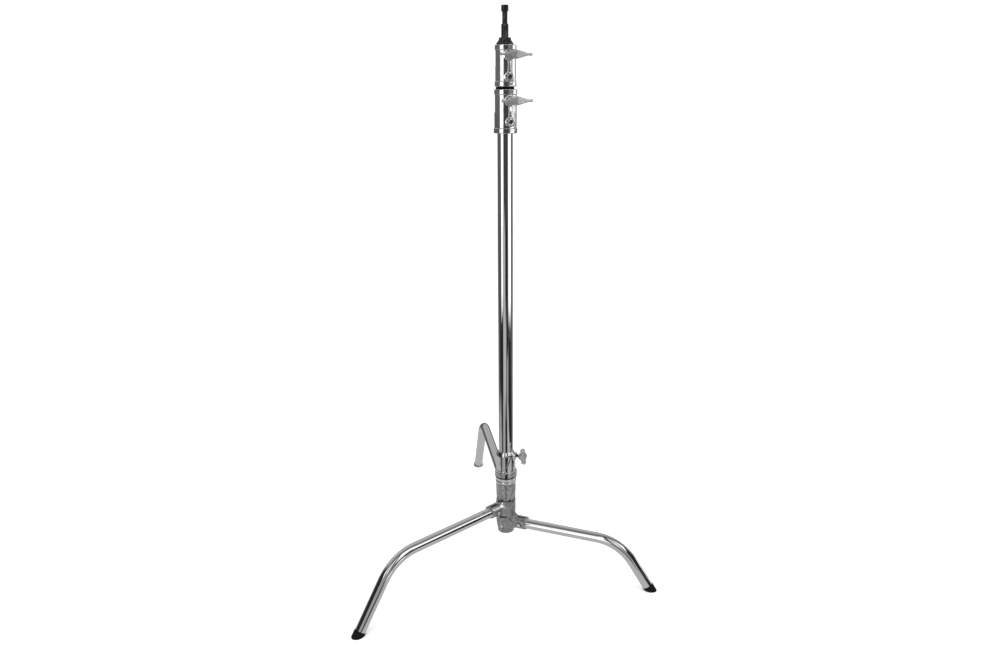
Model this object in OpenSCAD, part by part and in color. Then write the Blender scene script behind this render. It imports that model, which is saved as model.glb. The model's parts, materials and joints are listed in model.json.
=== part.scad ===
// C stand: a turtle base with three nesting legs, a column and two risers with a baby pin on top.
// The highest leg hangs on a collar that slides on the column, so the stand can level on steps.
// The origin is on the column's axis at floor level, +Z is up, and azimuths run from +X to +Y.

/* [Tubes] */
// Outer diameter of the column tube
column_od = 35; // [34.6:0.1:35.2]
// Outer diameter of the lower riser tube
riser_1_od = 30; // [29.8:0.1:30.2]
// Outer diameter of the upper riser tube
riser_2_od = 25; // [24.6:0.1:25.2]
// Wall thickness of the column tube
column_wall = 2; // [1.8:0.1:2]
// Wall thickness of both riser tubes
riser_wall = 1.6; // [1.4:0.1:1.6]
// Height of the column tube's upper end above the floor
column_top = 1128; // [1120:1:1134]

/* [Legs] */
// Outer diameter of the leg tubes
leg_od = 25; // [23:0.5:25]
// Wall thickness of the leg tubes
leg_wall = 2; // [1.5:0.25:2.5]
// Radius of each leg's bend, at the middle of the tube
leg_bend_r = 110; // [80:5:120]
// How steeply the outer half of each leg falls, in degrees below level
leg_fall = 55; // [50:1:60]
// Where the short leg's middle line meets the floor, from the column's axis
short_reach = 378; // [350:2:400]
// Where the middle leg's middle line meets the floor
middle_reach = 460; // [430:5:480]
// Where the tall leg's middle line meets the floor
tall_reach = 574; // [540:2:590]
// Direction of the short leg
short_azimuth = -22; // [-30:1:-14]
// Direction of the middle leg
middle_azimuth = -136; // [-140:1:-130]
// Direction of the tall leg
tall_azimuth = 99; // [80:1:110]

/* [Hubs] */
// Radius of the stacked leg hubs
hub_r = 24.5; // [24:0.5:26]
// Underside of the lower hub above the floor
lower_hub_z = 84; // [80:1:88]
// How far each hub's arm reaches from the column's axis
arm_reach = 57; // [54:1:62]
// Outer radius of each hub's arm
arm_r = 15.5; // [14.5:0.5:16]

/* [Locks] */
// Height of the column's lock handle above the floor
column_lock_z = 1150; // [1148:1:1152]
// Height of the lower riser's lock handle above the floor
riser_lock_z = 1246; // [1244:1:1248]
// Height of the sliding collar's knob above the floor
slider_lock_z = 295; // [294:1:296]
// Direction of the column's lock handle
column_lock_azimuth = -66; // [-80:1:-50]
// Direction of the lower riser's lock handle
riser_lock_azimuth = -68; // [-80:1:-50]
// Direction of the sliding collar's knob
slider_lock_azimuth = -20; // [-30:1:-10]
// Half of a T handle's span, from its screw to a tip
handle_half_span = 37; // [32:1:40]
// Half of the wing knob's span
knob_half_span = 20; // [16:1:22]

/* [Baby pin] */
// Diameter of the baby pin, five eighths of an inch
pin_d = 15.875; // [15.8:0.005:15.9]
// Length of the baby pin above its cap
pin_len = 67; // [60:1:70]

/* [Hidden] */
$fn = 96;
eps = 0.01;
run_gap = 0.05;   // radial clearance where one piece turns on another
face_gap = 0.3;   // gap between faces of pieces that move on each other

// Radii of the tubes
column_r = column_od / 2;
riser_1_r = riser_1_od / 2;
riser_2_r = riser_2_od / 2;
leg_r = leg_od / 2;
column_bore_r = column_r - column_wall;
riser_1_bore_r = riser_1_r - riser_wall;
riser_2_bore_r = riser_2_r - riser_wall;

// Heights of the stacked hubs, from the lowest up
short_leg_z = lower_hub_z + 29;
hub_floor_z = lower_hub_z + 8;
lower_hub_top = lower_hub_z + 50;
middle_leg_z = short_leg_z + 40;
middle_hub_z = lower_hub_top + face_gap;
middle_hub_top = middle_hub_z + 39.7;
washer_t = 2.4;
washer_top = middle_hub_top + washer_t;
tall_hub_z = washer_top + 0.2;
tall_leg_z = tall_hub_z + 29.4;
tall_hub_top = tall_hub_z + 60.2;
collar_z = tall_hub_top + face_gap;
sleeve_z = tall_hub_z + 21.4;
skirt_top = tall_hub_z + 25.4;

// Leg ends
leg_root_r = 26;
foot_wrap = 1;             // how far the rubber foot stands proud of the tube
foot_min_t = 3;            // rubber under the tube's inner edge
foot_plug_len = 20;
bend_lap = 2;
bend_thinning = 0.1;
leg_end_gap = (foot_min_t + leg_r * cos(leg_fall)) / sin(leg_fall);

// Hub arms
arm_flat_top = 13.8;       // flat top of an arm above its middle line
arm_slot_w = 4.5;
arm_slot_from = 33;
arm_slot_to = 51;
arm_bolt_at = 41;
arm_bolt_r = 3;
screw_head_r = 4.6;
screw_head_h = 3;
socket_across = 5.6;       // a hex socket, across its corners
socket_depth = 4;
nut_across = 11;
nut_t = 4;

// Stop groove between the two lower hubs
stop_r = [19, 22];
stop_depth = 3.5;
stop_from = -148;
stop_to = -16;
window_from = -130;
window_to = -84;
lug_width = 12;

// Hub spring
spring_wire_r = 1.1;
spring_mean_r = 19.1;
spring_turns = 4;
clip_t = 1.6;
spring_clip_z = sleeve_z - 1.5 - clip_t;
spring_washer_z = spring_clip_z - clip_t;

// Sliding collar
sleeve_r = 19.9;
collar_r = 23.9;
collar_flange_r = 27.7;
collar_top = collar_z + 69;
collar_shoulder = 9;       // height of the sloping shoulder at the top
liner_r = 19.4;
liner_z = [collar_z + 8, collar_z + 46];

// Lock castings: the wall is thick on the handle's side, so the outline is set off that way
column_lock_foot = column_top - 49;
column_lock_head = column_top + 46;
buffer_t = 5.6;
riser_lock_foot = column_lock_head + buffer_t + face_gap;
riser_lock_head = riser_lock_foot + 88;
lock_offset = 4;
column_lock_r = 24.3;
column_lock_back_r = 24;
riser_lock_r = 22.4;
riser_lock_back_r = 21;
lock_ring_h = 11;
lock_ring_t = 1.4;
boss_r = 10;
lock_screw_drop = 46;      // the clamp screw's distance below the handle
lock_screw_r = 4;
lock_screw_boss_r = 8;
riser_1_top = riser_lock_foot + 45;

// Handle screws
stud_r = 5;
shoe_r = 6;
shoe_len = 6;
shoe_pocket = 6.3;         // how far a shoe's pocket runs past the bush, so the shoe can back off
handle_at = 66;            // the wing's middle, from the column's axis
knob_stud_r = 4;
knob_shoe_r = 5;
knob_shoe_len = 3;
knob_shoe_pocket = 5.4;    // the same for the knob's shoe, past the column
knob_at = 46;
knob_tilt = 15;            // the knob has stopped this far from upright

// Risers: a plug guides each foot, and its shoulder meets the bush above at full height
plug_len = 45;
spigot_len = 20;
riser_1_travel = 950;
riser_2_travel = 950;
riser_1_foot = column_top - riser_1_travel;
riser_2_foot = riser_1_top - riser_2_travel;

// Baby pin and its cap
cap_z = riser_lock_head + face_gap;
cap_top = cap_z + 15;
cap_r = [18.8, 13.5];
pin_z = cap_top;
pin_top = pin_z + pin_len;
pin_neck_r = 5.75;
pin_neck = [pin_z + 29, pin_z + 53];
pin_chamfer = 1.2;
pin_plug_z = cap_z - 32;
pin_shoulder_r = 9.2;
roll_pin_z = cap_z - 16;
roll_pin_r = 2;
riser_2_top = cap_top - 6;

// ---- Shared shapes ----

// A tube standing on z
module ring(outer, inner, z, h) {
    translate([0, 0, z])
        difference() {
            cylinder(r = outer, h = h);
            translate([0, 0, -1])
                cylinder(r = inner, h = h + 2);
        }
}

// Points a child that runs along +Z outwards at an azimuth and a height
module outward(azimuth, z) {
    rotate([0, 0, azimuth])
        translate([0, 0, z])
            rotate([0, 90, 0])
                children();
}

// A sector of a ring between two azimuths, for cutting grooves and making lugs
module ring_sector(r, from, to, z, h) {
    translate([0, 0, z])
        rotate([0, 0, from])
            rotate_extrude(angle = to - from)
                translate([r[0], 0])
                    square([r[1] - r[0], h]);
}

// A tube with one bend: level from the root, then falling to its end above the floor.
// Bending draws the wall a little thinner, so the straight runs lap over the bend's ends.
module bent_tube(reach, height, outer, inner) {
    corner = reach - height / tan(leg_fall);
    tangent = leg_bend_r * tan(leg_fall / 2);
    bend_at = corner - tangent;
    fall_len = height / sin(leg_fall) - tangent - leg_end_gap;
    translate([leg_root_r, 0, height])
        rotate([0, 90, 0])
            linear_extrude(bend_at - leg_root_r + bend_lap)
                annulus(outer, inner);
    translate([bend_at, 0, height - leg_bend_r])
        rotate([90, 0, 0])
            rotate([0, 0, 90 - leg_fall])
                leg_bend(outer - bend_thinning, inner + bend_thinning);
    translate([corner + tangent * cos(leg_fall), 0, height - tangent * sin(leg_fall)])
        rotate([0, 90 + leg_fall, 0])
            translate([0, 0, -bend_lap])
                linear_extrude(fall_len + bend_lap)
                    annulus(outer, inner);
}

module annulus(outer, inner) {
    difference() {
        circle(outer);
        circle(inner);
    }
}

module leg_bend(outer, inner) {
    rotate_extrude(angle = leg_fall)
        translate([leg_bend_r, 0])
            annulus(outer, inner);
}

module leg_tube(azimuth, reach, height) {
    color("silver")
        rotate([0, 0, azimuth])
            difference() {
                bent_tube(reach, height, leg_r, leg_r - leg_wall);
                translate([arm_bolt_at, 0, height])
                    rotate([90, 0, 0])
                        cylinder(r = arm_bolt_r, h = 2 * leg_od, center = true);
            }
}

// Rubber foot: a plug in the tube's end, and a pad cut level with the floor
module leg_foot(azimuth, reach) {
    color("black")
        rotate([0, 0, azimuth])
            difference() {
                translate([reach - leg_end_gap * cos(leg_fall), 0, leg_end_gap * sin(leg_fall)])
                    rotate([0, 90 + leg_fall, 0]) {
                        cylinder(r = leg_r + foot_wrap, h = 2 * leg_od);
                        translate([0, 0, -foot_plug_len])
                            cylinder(r = leg_r - leg_wall, h = foot_plug_len + 1);
                    }
                translate([reach - 4 * leg_od, -2 * leg_od, -6 * leg_od])
                    cube([8 * leg_od, 4 * leg_od, 6 * leg_od]);
            }
}

// Outline of a hub's arm: round below, with a flat top
module arm_outline() {
    circle(arm_r);
    translate([-arm_flat_top, -arm_r])
        square([arm_flat_top, 2 * arm_r]);
}

module arm_body(azimuth, z) {
    rotate([0, 0, azimuth])
        translate([column_r, 0, z])
            rotate([0, 90, 0])
                linear_extrude(arm_reach - column_r)
                    arm_outline();
}

// What is cut from an arm: the leg's socket, the slot in the top and the cross bolt's hole
module arm_cuts(azimuth, z) {
    rotate([0, 0, azimuth])
        translate([0, 0, z]) {
            translate([leg_root_r, 0, 0])
                rotate([0, 90, 0])
                    cylinder(r = leg_r, h = arm_reach);
            for (x = [arm_slot_from, arm_slot_to])
                translate([x, 0, 0])
                    cylinder(d = arm_slot_w, h = 2 * arm_r);
            translate([arm_slot_from, -arm_slot_w / 2, 0])
                cube([arm_slot_to - arm_slot_from, arm_slot_w, 2 * arm_r]);
            translate([arm_bolt_at, 0, 0])
                rotate([90, 0, 0])
                    cylinder(r = arm_bolt_r, h = 4 * arm_r, center = true);
        }
}

// Cross bolt of an arm, with its socket head on the side that side = 1 or -1 gives
module arm_bolt(azimuth, z, side) {
    color("gainsboro")
        rotate([0, 0, azimuth])
            translate([arm_bolt_at, side * (arm_r - 1), z])
                rotate([side * -90, 0, 0])
                    difference() {
                        union() {
                            translate([0, 0, -2 * arm_r - 2])
                                cylinder(r = arm_bolt_r, h = 2 * arm_r + 3);
                            translate([0, 0, 1])
                                cylinder(r = screw_head_r, h = screw_head_h);
                        }
                        translate([0, 0, 2])
                            cylinder(d = socket_across, h = socket_depth, $fn = 6);
                    }
}

module arm_nut(azimuth, z, side) {
    color("gainsboro")
        rotate([0, 0, azimuth])
            translate([arm_bolt_at, -side * arm_r, z])
                rotate([side * 90, 0, 0])
                    difference() {
                        cylinder(d = nut_across, h = nut_t, $fn = 6);
                        translate([0, 0, -1])
                            cylinder(r = arm_bolt_r, h = nut_t + 2);
                    }
}

// ---- Base and column ----

module column_tube() {
    color("silver")
        difference() {
            ring(column_r, column_bore_r, hub_floor_z, column_top - hub_floor_z);
            ring(column_r + 1, column_r - 0.8, spring_clip_z, clip_t);
        }
}

module lower_hub() {
    color("gray")
        difference() {
            union() {
                rotate_extrude()
                    hub_profile();
                arm_body(short_azimuth, short_leg_z);
            }
            translate([0, 0, hub_floor_z])
                cylinder(r = column_r, h = lower_hub_top);
            ring_sector(stop_r, stop_from, stop_to, lower_hub_top - stop_depth, stop_depth + 1);
            ring_sector([stop_r[1] - 1, hub_r + 2], window_from, window_to,
                        lower_hub_top - stop_depth - 1.5, stop_depth + 3);
            arm_cuts(short_azimuth, short_leg_z);
            outward(window_from + 14, short_leg_z - 6)
                cylinder(r = arm_bolt_r, h = 2 * hub_r);
        }
}

// Half section of the lower hub, with its rounded foot
module hub_profile() {
    round_r = 9;
    foot_r = hub_r - 3.5;
    steps = 5;
    corner = [
        for (i = [0 : steps])
            let (a = 90 * i / steps)
                [foot_r - round_r + round_r * sin(a), lower_hub_z + round_r * (1 - cos(a))]
    ];
    polygon(concat([[0, lower_hub_z]], corner, [
        [hub_r, lower_hub_z + 34],
        [hub_r, lower_hub_top],
        [0, lower_hub_top]
    ]));
}

module lower_hub_screw() {
    color("gainsboro")
        outward(window_from + 14, short_leg_z - 6)
            difference() {
                union() {
                    translate([0, 0, column_r])
                        cylinder(r = arm_bolt_r, h = hub_r - column_r);
                    translate([0, 0, hub_r - 0.6])
                        cylinder(r = screw_head_r, h = screw_head_h);
                }
                translate([0, 0, hub_r + 0.6])
                    cylinder(d = socket_across, h = socket_depth, $fn = 6);
            }
}

module short_leg_tube() {
    leg_tube(short_azimuth, short_reach, short_leg_z);
}

module short_leg_bolt() {
    arm_bolt(short_azimuth, short_leg_z, -1);
}

module short_leg_nut() {
    arm_nut(short_azimuth, short_leg_z, -1);
}

module short_leg_foot() {
    leg_foot(short_azimuth, short_reach);
}

// A coil spring as one swept polyhedron with flat ends left free
module hub_spring() {
    sides = 8;
    steps = 24 * spring_turns;
    foot = washer_top + spring_wire_r;
    rise = spring_washer_z - washer_top - 2 * spring_wire_r;
    rings = [
        for (i = [0 : steps])
            let (a = 360 * spring_turns * i / steps, z = foot + rise * i / steps)
                for (j = [0 : sides - 1])
                    let (b = 360 * j / sides, r = spring_mean_r + spring_wire_r * cos(b))
                        [r * cos(a), r * sin(a), z + spring_wire_r * sin(b)]
    ];
    skin = [
        for (i = [0 : steps - 1])
            for (j = [0 : sides - 1])
                let (k = (j + 1) % sides)
                    [i * sides + j, (i + 1) * sides + j, (i + 1) * sides + k, i * sides + k]
    ];
    ends = [
        [for (j = [0 : sides - 1]) j],
        [for (j = [sides - 1 : -1 : 0]) steps * sides + j]
    ];
    color("dimgray")
        polyhedron(points = rings, faces = concat(skin, ends), convexity = 10);
}

module spring_washer() {
    color("dimgray")
        ring(spring_mean_r + 1.6, column_r, spring_washer_z, clip_t);
}

module spring_clip() {
    color("dimgray")
        difference() {
            ring(spring_mean_r + 1.2, column_r - 0.8, spring_clip_z, clip_t);
            ring_sector([column_r - 2, hub_r], 80, 110, spring_clip_z - 1, clip_t + 2);
        }
}

// ---- Lock castings ----

// Plan outline of a lock casting: thick towards +X, where the handle is
module lock_outline(front_r, back_r, grow) {
    translate([lock_offset, 0])
        circle(front_r + grow);
    circle(back_r + grow);
}

// Outer body of a lock casting: slimmer above the step, a ring at each end, bosses and a rib
module lock_body(foot, head, front_r, back_r, handle_z) {
    slim_r = front_r - lock_offset - 0.5;
    step_z = (foot + head) / 2;
    boss_out = front_r + lock_offset + 17;
    screw_z = handle_z - lock_screw_drop;
    screw_out = front_r + lock_offset + 4;
    translate([0, 0, foot])
        linear_extrude(step_z - foot)
            lock_outline(front_r, back_r, 0);
    translate([0, 0, step_z])
        linear_extrude(head - step_z)
            lock_outline(front_r, slim_r, 0);
    translate([0, 0, foot])
        linear_extrude(lock_ring_h)
            lock_outline(front_r, back_r, lock_ring_t);
    translate([0, 0, head - lock_ring_h])
        linear_extrude(lock_ring_h)
            lock_outline(front_r, slim_r, lock_ring_t);
    outward(0, handle_z)
        cylinder(r = boss_r, h = boss_out);
    outward(0, screw_z)
        cylinder(r = lock_screw_boss_r, h = screw_out);
    translate([front_r - 6, -2.5, screw_z])
        cube([lock_offset + 9, 5, handle_z - screw_z]);
}

// What is cut from a lock casting: the tube below, the bush above and the two screws' holes
module lock_cuts(foot, head, tube_r, bush_r, seat_z, handle_z, front_r) {
    screw_z = handle_z - lock_screw_drop;
    translate([0, 0, foot - 1])
        cylinder(r = tube_r, h = seat_z - foot + 1);
    translate([0, 0, seat_z - eps])
        cylinder(r = bush_r, h = head - seat_z + 1);
    outward(0, handle_z)
        cylinder(r = stud_r + run_gap, h = 4 * front_r);
    outward(0, handle_z)
        cylinder(r = shoe_r + run_gap, h = bush_r + shoe_pocket);
    outward(0, screw_z)
        cylinder(r = lock_screw_r, h = 4 * front_r);
}

module lock_casting(foot, head, tube_r, bush_r, seat_z, front_r, back_r, handle_z) {
    difference() {
        lock_body(foot, head, front_r, back_r, handle_z);
        lock_cuts(foot, head, tube_r, bush_r, seat_z, handle_z, front_r);
    }
}

// Hex socket screw that clamps a lock casting to its tube
module lock_screw(tube_r, front_r, z) {
    head_at = front_r + lock_offset + 3;
    outward(0, z)
        difference() {
            translate([0, 0, tube_r])
                cylinder(r = lock_screw_r, h = head_at - tube_r);
            translate([0, 0, head_at - socket_depth])
                cylinder(d = socket_across, h = 2 * socket_depth, $fn = 6);
        }
}

// Nylon bush that guides a riser in its casting, with a hole for the shoe
module lock_bush(outer, inner, z, h, handle_z) {
    difference() {
        ring(outer, inner, z, h);
        outward(0, handle_z)
            cylinder(r = shoe_r + run_gap, h = 2 * outer);
    }
}

module column_lock_casting() {
    color("lightgray")
        rotate([0, 0, column_lock_azimuth])
            lock_casting(column_lock_foot, column_lock_head, column_r, column_r, column_top,
                         column_lock_r, column_lock_back_r, column_lock_z);
}

module column_lock_bush() {
    color("white")
        rotate([0, 0, column_lock_azimuth])
            lock_bush(column_r, riser_1_r + run_gap, column_top, column_lock_head - column_top,
                      column_lock_z);
}

module column_lock_screw() {
    color("dimgray")
        rotate([0, 0, column_lock_azimuth])
            lock_screw(column_r, column_lock_r, column_lock_z - lock_screw_drop);
}

module buffer_ring() {
    color("black")
        ring(20.6, riser_1_r + 0.4, column_lock_head, buffer_t);
}

module riser_1_lock_casting() {
    color("lightgray")
        rotate([0, 0, riser_lock_azimuth])
            lock_casting(riser_lock_foot, riser_lock_head, riser_1_r, riser_1_r, riser_1_top,
                         riser_lock_r, riser_lock_back_r, riser_lock_z);
}

module riser_1_lock_bush() {
    color("white")
        rotate([0, 0, riser_lock_azimuth])
            lock_bush(riser_1_r, riser_2_r + run_gap, riser_1_top, riser_lock_head - riser_1_top,
                      riser_lock_z);
}

module riser_1_lock_screw() {
    color("dimgray")
        rotate([0, 0, riser_lock_azimuth])
            lock_screw(riser_1_r, riser_lock_r, riser_lock_z - lock_screw_drop);
}

// ---- Handles ----

// Half height of a wing at a distance from its screw: deep in the middle, flared at the tip
function wing_half(t, root, neck, tip) =
    neck + (root - neck) * pow(1 - min(t / 0.8, 1), 1.1) + (tip - neck) * pow(max(t - 0.7, 0) / 0.3, 2);

module wing_outline(half_span, root, neck, tip) {
    steps = 12;
    upper = [
        for (i = [-steps : steps])
            let (t = abs(i) / steps)
                [half_span * i / steps, wing_half(t, root, neck, tip)]
    ];
    lower = [for (i = [len(upper) - 1 : -1 : 0]) [upper[i][0], -upper[i][1]]];
    polygon(concat(upper, lower));
}

// A wing seen along its screw, cut to a slimmer plan outline, with a round hub around the screw
module wing(half_span, root, neck, tip, thick_root, thick_tip, hub_r, hub_len, bore_r) {
    difference() {
        union() {
            intersection() {
                translate([0, 0, -thick_root])
                    linear_extrude(2 * thick_root)
                        wing_outline(half_span, root, neck, tip);
                rotate([90, 0, 0])
                    translate([0, 0, -root])
                        linear_extrude(2 * root)
                            wing_outline(half_span, thick_root, thick_tip, thick_tip);
            }
            translate([0, 0, -hub_len])
                cylinder(r = hub_r, h = hub_len + 3);
        }
        translate([0, 0, -hub_len - 1])
            cylinder(r = bore_r, h = hub_len + 1);
    }
}

// A T handle's wing, level across the stand
module handle_wing(azimuth, z) {
    color("darkgray")
        outward(azimuth, z)
            translate([0, 0, handle_at])
                rotate([0, 0, 90])
                    wing(handle_half_span, 10, 2.2, 4, 6, 2.4, 8, 15, stud_r);
}

// A stud: its thread runs from the shoe to the wing
module stud(azimuth, z, r, from, to) {
    color("dimgray")
        outward(azimuth, z)
            translate([0, 0, from])
                cylinder(r = r, h = to - from);
}

// A shoe between the stud and the tube, hollowed to the tube
module shoe(azimuth, z, tube_r, r, len) {
    color("white")
        difference() {
            outward(azimuth, z)
                cylinder(r = r, h = tube_r + len);
            translate([0, 0, z - 2 * r])
                cylinder(r = tube_r + 0.1, h = 4 * r);
        }
}

module column_shoe() {
    shoe(column_lock_azimuth, column_lock_z, riser_1_r, shoe_r, shoe_len);
}

module column_handle_stud() {
    stud(column_lock_azimuth, column_lock_z, stud_r, riser_1_r + shoe_len, handle_at);
}

module column_handle_wing() {
    handle_wing(column_lock_azimuth, column_lock_z);
}

module riser_1_shoe() {
    shoe(riser_lock_azimuth, riser_lock_z, riser_2_r, shoe_r, shoe_len);
}

module riser_1_handle_stud() {
    stud(riser_lock_azimuth, riser_lock_z, stud_r, riser_2_r + shoe_len, handle_at);
}

module riser_1_handle_wing() {
    handle_wing(riser_lock_azimuth, riser_lock_z);
}

module slider_shoe() {
    shoe(slider_lock_azimuth, slider_lock_z, column_r, knob_shoe_r, knob_shoe_len);
}

module slider_knob_stud() {
    stud(slider_lock_azimuth, slider_lock_z, knob_stud_r, column_r + knob_shoe_len, knob_at);
}

module slider_knob_wing() {
    color("darkgray")
        outward(slider_lock_azimuth, slider_lock_z)
            translate([0, 0, knob_at])
                rotate([0, 0, knob_tilt])
                    wing(knob_half_span, 9, 4.5, 7, 8.5, 6, 8, 11, knob_stud_r);
}

// ---- Middle leg ----

module middle_hub() {
    color("gray")
        difference() {
            union() {
                translate([0, 0, middle_hub_z])
                    cylinder(r = hub_r, h = middle_hub_top - middle_hub_z);
                arm_body(middle_azimuth, middle_leg_z);
                ring_sector([stop_r[0] + 0.4, stop_r[1] - 0.4], stop_from + 1, stop_from + 1 + lug_width,
                            middle_hub_z - stop_depth + 0.4, stop_depth);
            }
            translate([0, 0, middle_hub_z - stop_depth])
                cylinder(r = column_r + run_gap, h = 2 * hub_r);
            arm_cuts(middle_azimuth, middle_leg_z);
        }
}

module middle_hub_washer() {
    color("black")
        ring(hub_r - 1.6, column_r + 0.2, middle_hub_top, washer_t);
}

module middle_leg_tube() {
    leg_tube(middle_azimuth, middle_reach, middle_leg_z);
}

module middle_leg_bolt() {
    arm_bolt(middle_azimuth, middle_leg_z, 1);
}

module middle_leg_nut() {
    arm_nut(middle_azimuth, middle_leg_z, 1);
}

module middle_leg_foot() {
    leg_foot(middle_azimuth, middle_reach);
}

// ---- Sliding collar and tall leg ----

module sliding_collar() {
    bevel = 4;
    flange_h = 15;
    color("lightgray")
        difference() {
            union() {
                rotate_extrude()
                    polygon([
                        [0, sleeve_z],
                        [sleeve_r, sleeve_z],
                        [sleeve_r, collar_z],
                        [collar_flange_r - 1, collar_z],
                        [collar_flange_r, collar_z + 1],
                        [collar_flange_r, collar_z + flange_h],
                        [collar_r, collar_z + flange_h + bevel],
                        [collar_r, collar_top - collar_shoulder],
                        [column_r + 1.2, collar_top],
                        [0, collar_top]
                    ]);
                outward(slider_lock_azimuth, slider_lock_z)
                    cylinder(r = 8.5, h = collar_r + 3.5);
            }
            translate([0, 0, sleeve_z - 1])
                cylinder(r = column_r + 0.1, h = collar_top);
            translate([0, 0, liner_z[0]])
                cylinder(r = liner_r, h = liner_z[1] - liner_z[0]);
            ring(sleeve_r + 1, sleeve_r - 0.8, sleeve_z + 1.5, clip_t);
            outward(slider_lock_azimuth, slider_lock_z)
                cylinder(r = knob_shoe_r + run_gap, h = column_r + knob_shoe_pocket);
            outward(slider_lock_azimuth, slider_lock_z)
                cylinder(r = knob_stud_r + run_gap, h = 3 * collar_r);
        }
}

module slider_liner() {
    color("white")
        ring(liner_r, column_r + 0.08, liner_z[0], liner_z[1] - liner_z[0]);
}

module slider_clip() {
    color("dimgray")
        difference() {
            ring(sleeve_r + 1, sleeve_r - 0.8, sleeve_z + 1.5, clip_t);
            ring_sector([sleeve_r - 2, hub_r], 80, 110, sleeve_z, 3 * clip_t);
        }
}

module tall_hub() {
    waist_r = hub_r - 1.3;
    lip_r = hub_r + 1.4;
    lip_z = tall_hub_z + 45;
    scallops = 8;
    color("gray")
        difference() {
            union() {
                rotate_extrude()
                    polygon([
                        [0, tall_hub_z],
                        [waist_r, tall_hub_z],
                        [hub_r + 0.3, tall_hub_z + 34],
                        [hub_r + 0.3, lip_z - 1],
                        [lip_r - 0.8, lip_z],
                        [lip_r, lip_z + 1],
                        [lip_r, lip_z + 6],
                        [lip_r - 0.9, lip_z + 7],
                        [lip_r, lip_z + 8],
                        [lip_r, tall_hub_top - 1],
                        [lip_r - 1, tall_hub_top],
                        [0, tall_hub_top]
                    ]);
                arm_body(tall_azimuth, tall_leg_z);
            }
            translate([0, 0, tall_hub_z - 1])
                cylinder(r = sleeve_r + run_gap, h = 4 * hub_r);
            translate([0, 0, tall_hub_z - 1])
                cylinder(r = sleeve_r + 1.4, h = skirt_top - tall_hub_z + 1);
            for (i = [0 : scallops - 1])
                outward(360 * (i + 0.5) / scallops, tall_hub_z - 1)
                    cylinder(r = 3.4, h = 2 * hub_r);
            arm_cuts(tall_azimuth, tall_leg_z);
        }
}

module tall_leg_tube() {
    leg_tube(tall_azimuth, tall_reach, tall_leg_z);
}

module tall_leg_bolt() {
    arm_bolt(tall_azimuth, tall_leg_z, 1);
}

module tall_leg_nut() {
    arm_nut(tall_azimuth, tall_leg_z, 1);
}

module tall_leg_foot() {
    leg_foot(tall_azimuth, tall_reach);
}

// ---- Risers ----

// Guide plug at a riser's foot: a body that runs in the tube outside, a spigot in its own tube
module riser_plug(body_r, spigot_r, shoulder_z) {
    color("white") {
        translate([0, 0, shoulder_z - plug_len])
            cylinder(r = body_r, h = plug_len);
        translate([0, 0, shoulder_z - 1])
            cylinder(r = spigot_r, h = spigot_len + 1);
    }
}

module riser_1_plug() {
    riser_plug(column_bore_r - 0.1, riser_1_bore_r - run_gap, riser_1_foot);
}

module riser_1_tube() {
    color("silver")
        ring(riser_1_r, riser_1_bore_r, riser_1_foot, riser_1_top - riser_1_foot);
}

module riser_2_plug() {
    riser_plug(riser_1_bore_r - 0.1, riser_2_bore_r - run_gap, riser_2_foot);
}

module riser_2_tube() {
    color("silver")
        difference() {
            ring(riser_2_r, riser_2_bore_r, riser_2_foot, riser_2_top - riser_2_foot);
            translate([0, 0, roll_pin_z])
                rotate([90, 0, 0])
                    cylinder(r = roll_pin_r, h = 2 * riser_2_od, center = true);
        }
}

module riser_2_roll_pin() {
    color("dimgray")
        translate([0, 0, roll_pin_z])
            rotate([90, 0, 0])
                cylinder(r = roll_pin_r, h = riser_2_od - 1, center = true);
}

module pin_cap() {
    color("black")
        rotate_extrude()
            polygon([
                [riser_2_r, cap_z],
                [cap_r[0], cap_z],
                [cap_r[0], cap_z + 3],
                [cap_r[0] - 3.6, cap_z + 8],
                [cap_r[1] + 0.6, cap_z + 9],
                [cap_r[1], cap_z + 13],
                [cap_r[1] - 1, cap_top],
                [pin_shoulder_r, cap_top],
                [pin_shoulder_r, riser_2_top],
                [riser_2_r, riser_2_top]
            ]);
}

module baby_pin() {
    color("black")
        difference() {
            rotate_extrude()
                polygon([
                    [0, pin_plug_z],
                    [riser_2_bore_r, pin_plug_z],
                    [riser_2_bore_r, riser_2_top],
                    [pin_shoulder_r, riser_2_top],
                    [pin_shoulder_r, pin_z],
                    [pin_d / 2, pin_z],
                    [pin_d / 2, pin_neck[0] - 2],
                    [pin_neck_r, pin_neck[0]],
                    [pin_neck_r, pin_neck[1]],
                    [pin_d / 2, pin_neck[1] + 1],
                    [pin_d / 2, pin_top - pin_chamfer],
                    [pin_d / 2 - pin_chamfer, pin_top],
                    [0, pin_top]
                ]);
            translate([0, 0, roll_pin_z])
                rotate([90, 0, 0])
                    cylinder(r = roll_pin_r, h = 2 * riser_2_od, center = true);
        }
}

column_tube();
lower_hub();
lower_hub_screw();
short_leg_tube();
short_leg_bolt();
short_leg_nut();
short_leg_foot();
hub_spring();
spring_washer();
spring_clip();
column_lock_casting();
column_lock_bush();
column_lock_screw();
buffer_ring();
middle_hub();
middle_hub_washer();
middle_leg_tube();
middle_leg_bolt();
middle_leg_nut();
middle_leg_foot();
sliding_collar();
slider_liner();
slider_clip();
tall_hub();
tall_leg_tube();
tall_leg_bolt();
tall_leg_nut();
tall_leg_foot();
slider_shoe();
slider_knob_stud();
slider_knob_wing();
column_shoe();
column_handle_stud();
column_handle_wing();
riser_1_plug();
riser_1_tube();
riser_1_lock_casting();
riser_1_lock_bush();
riser_1_lock_screw();
riser_1_shoe();
riser_1_handle_stud();
riser_1_handle_wing();
riser_2_plug();
riser_2_tube();
riser_2_roll_pin();
pin_cap();
baby_pin();
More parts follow.
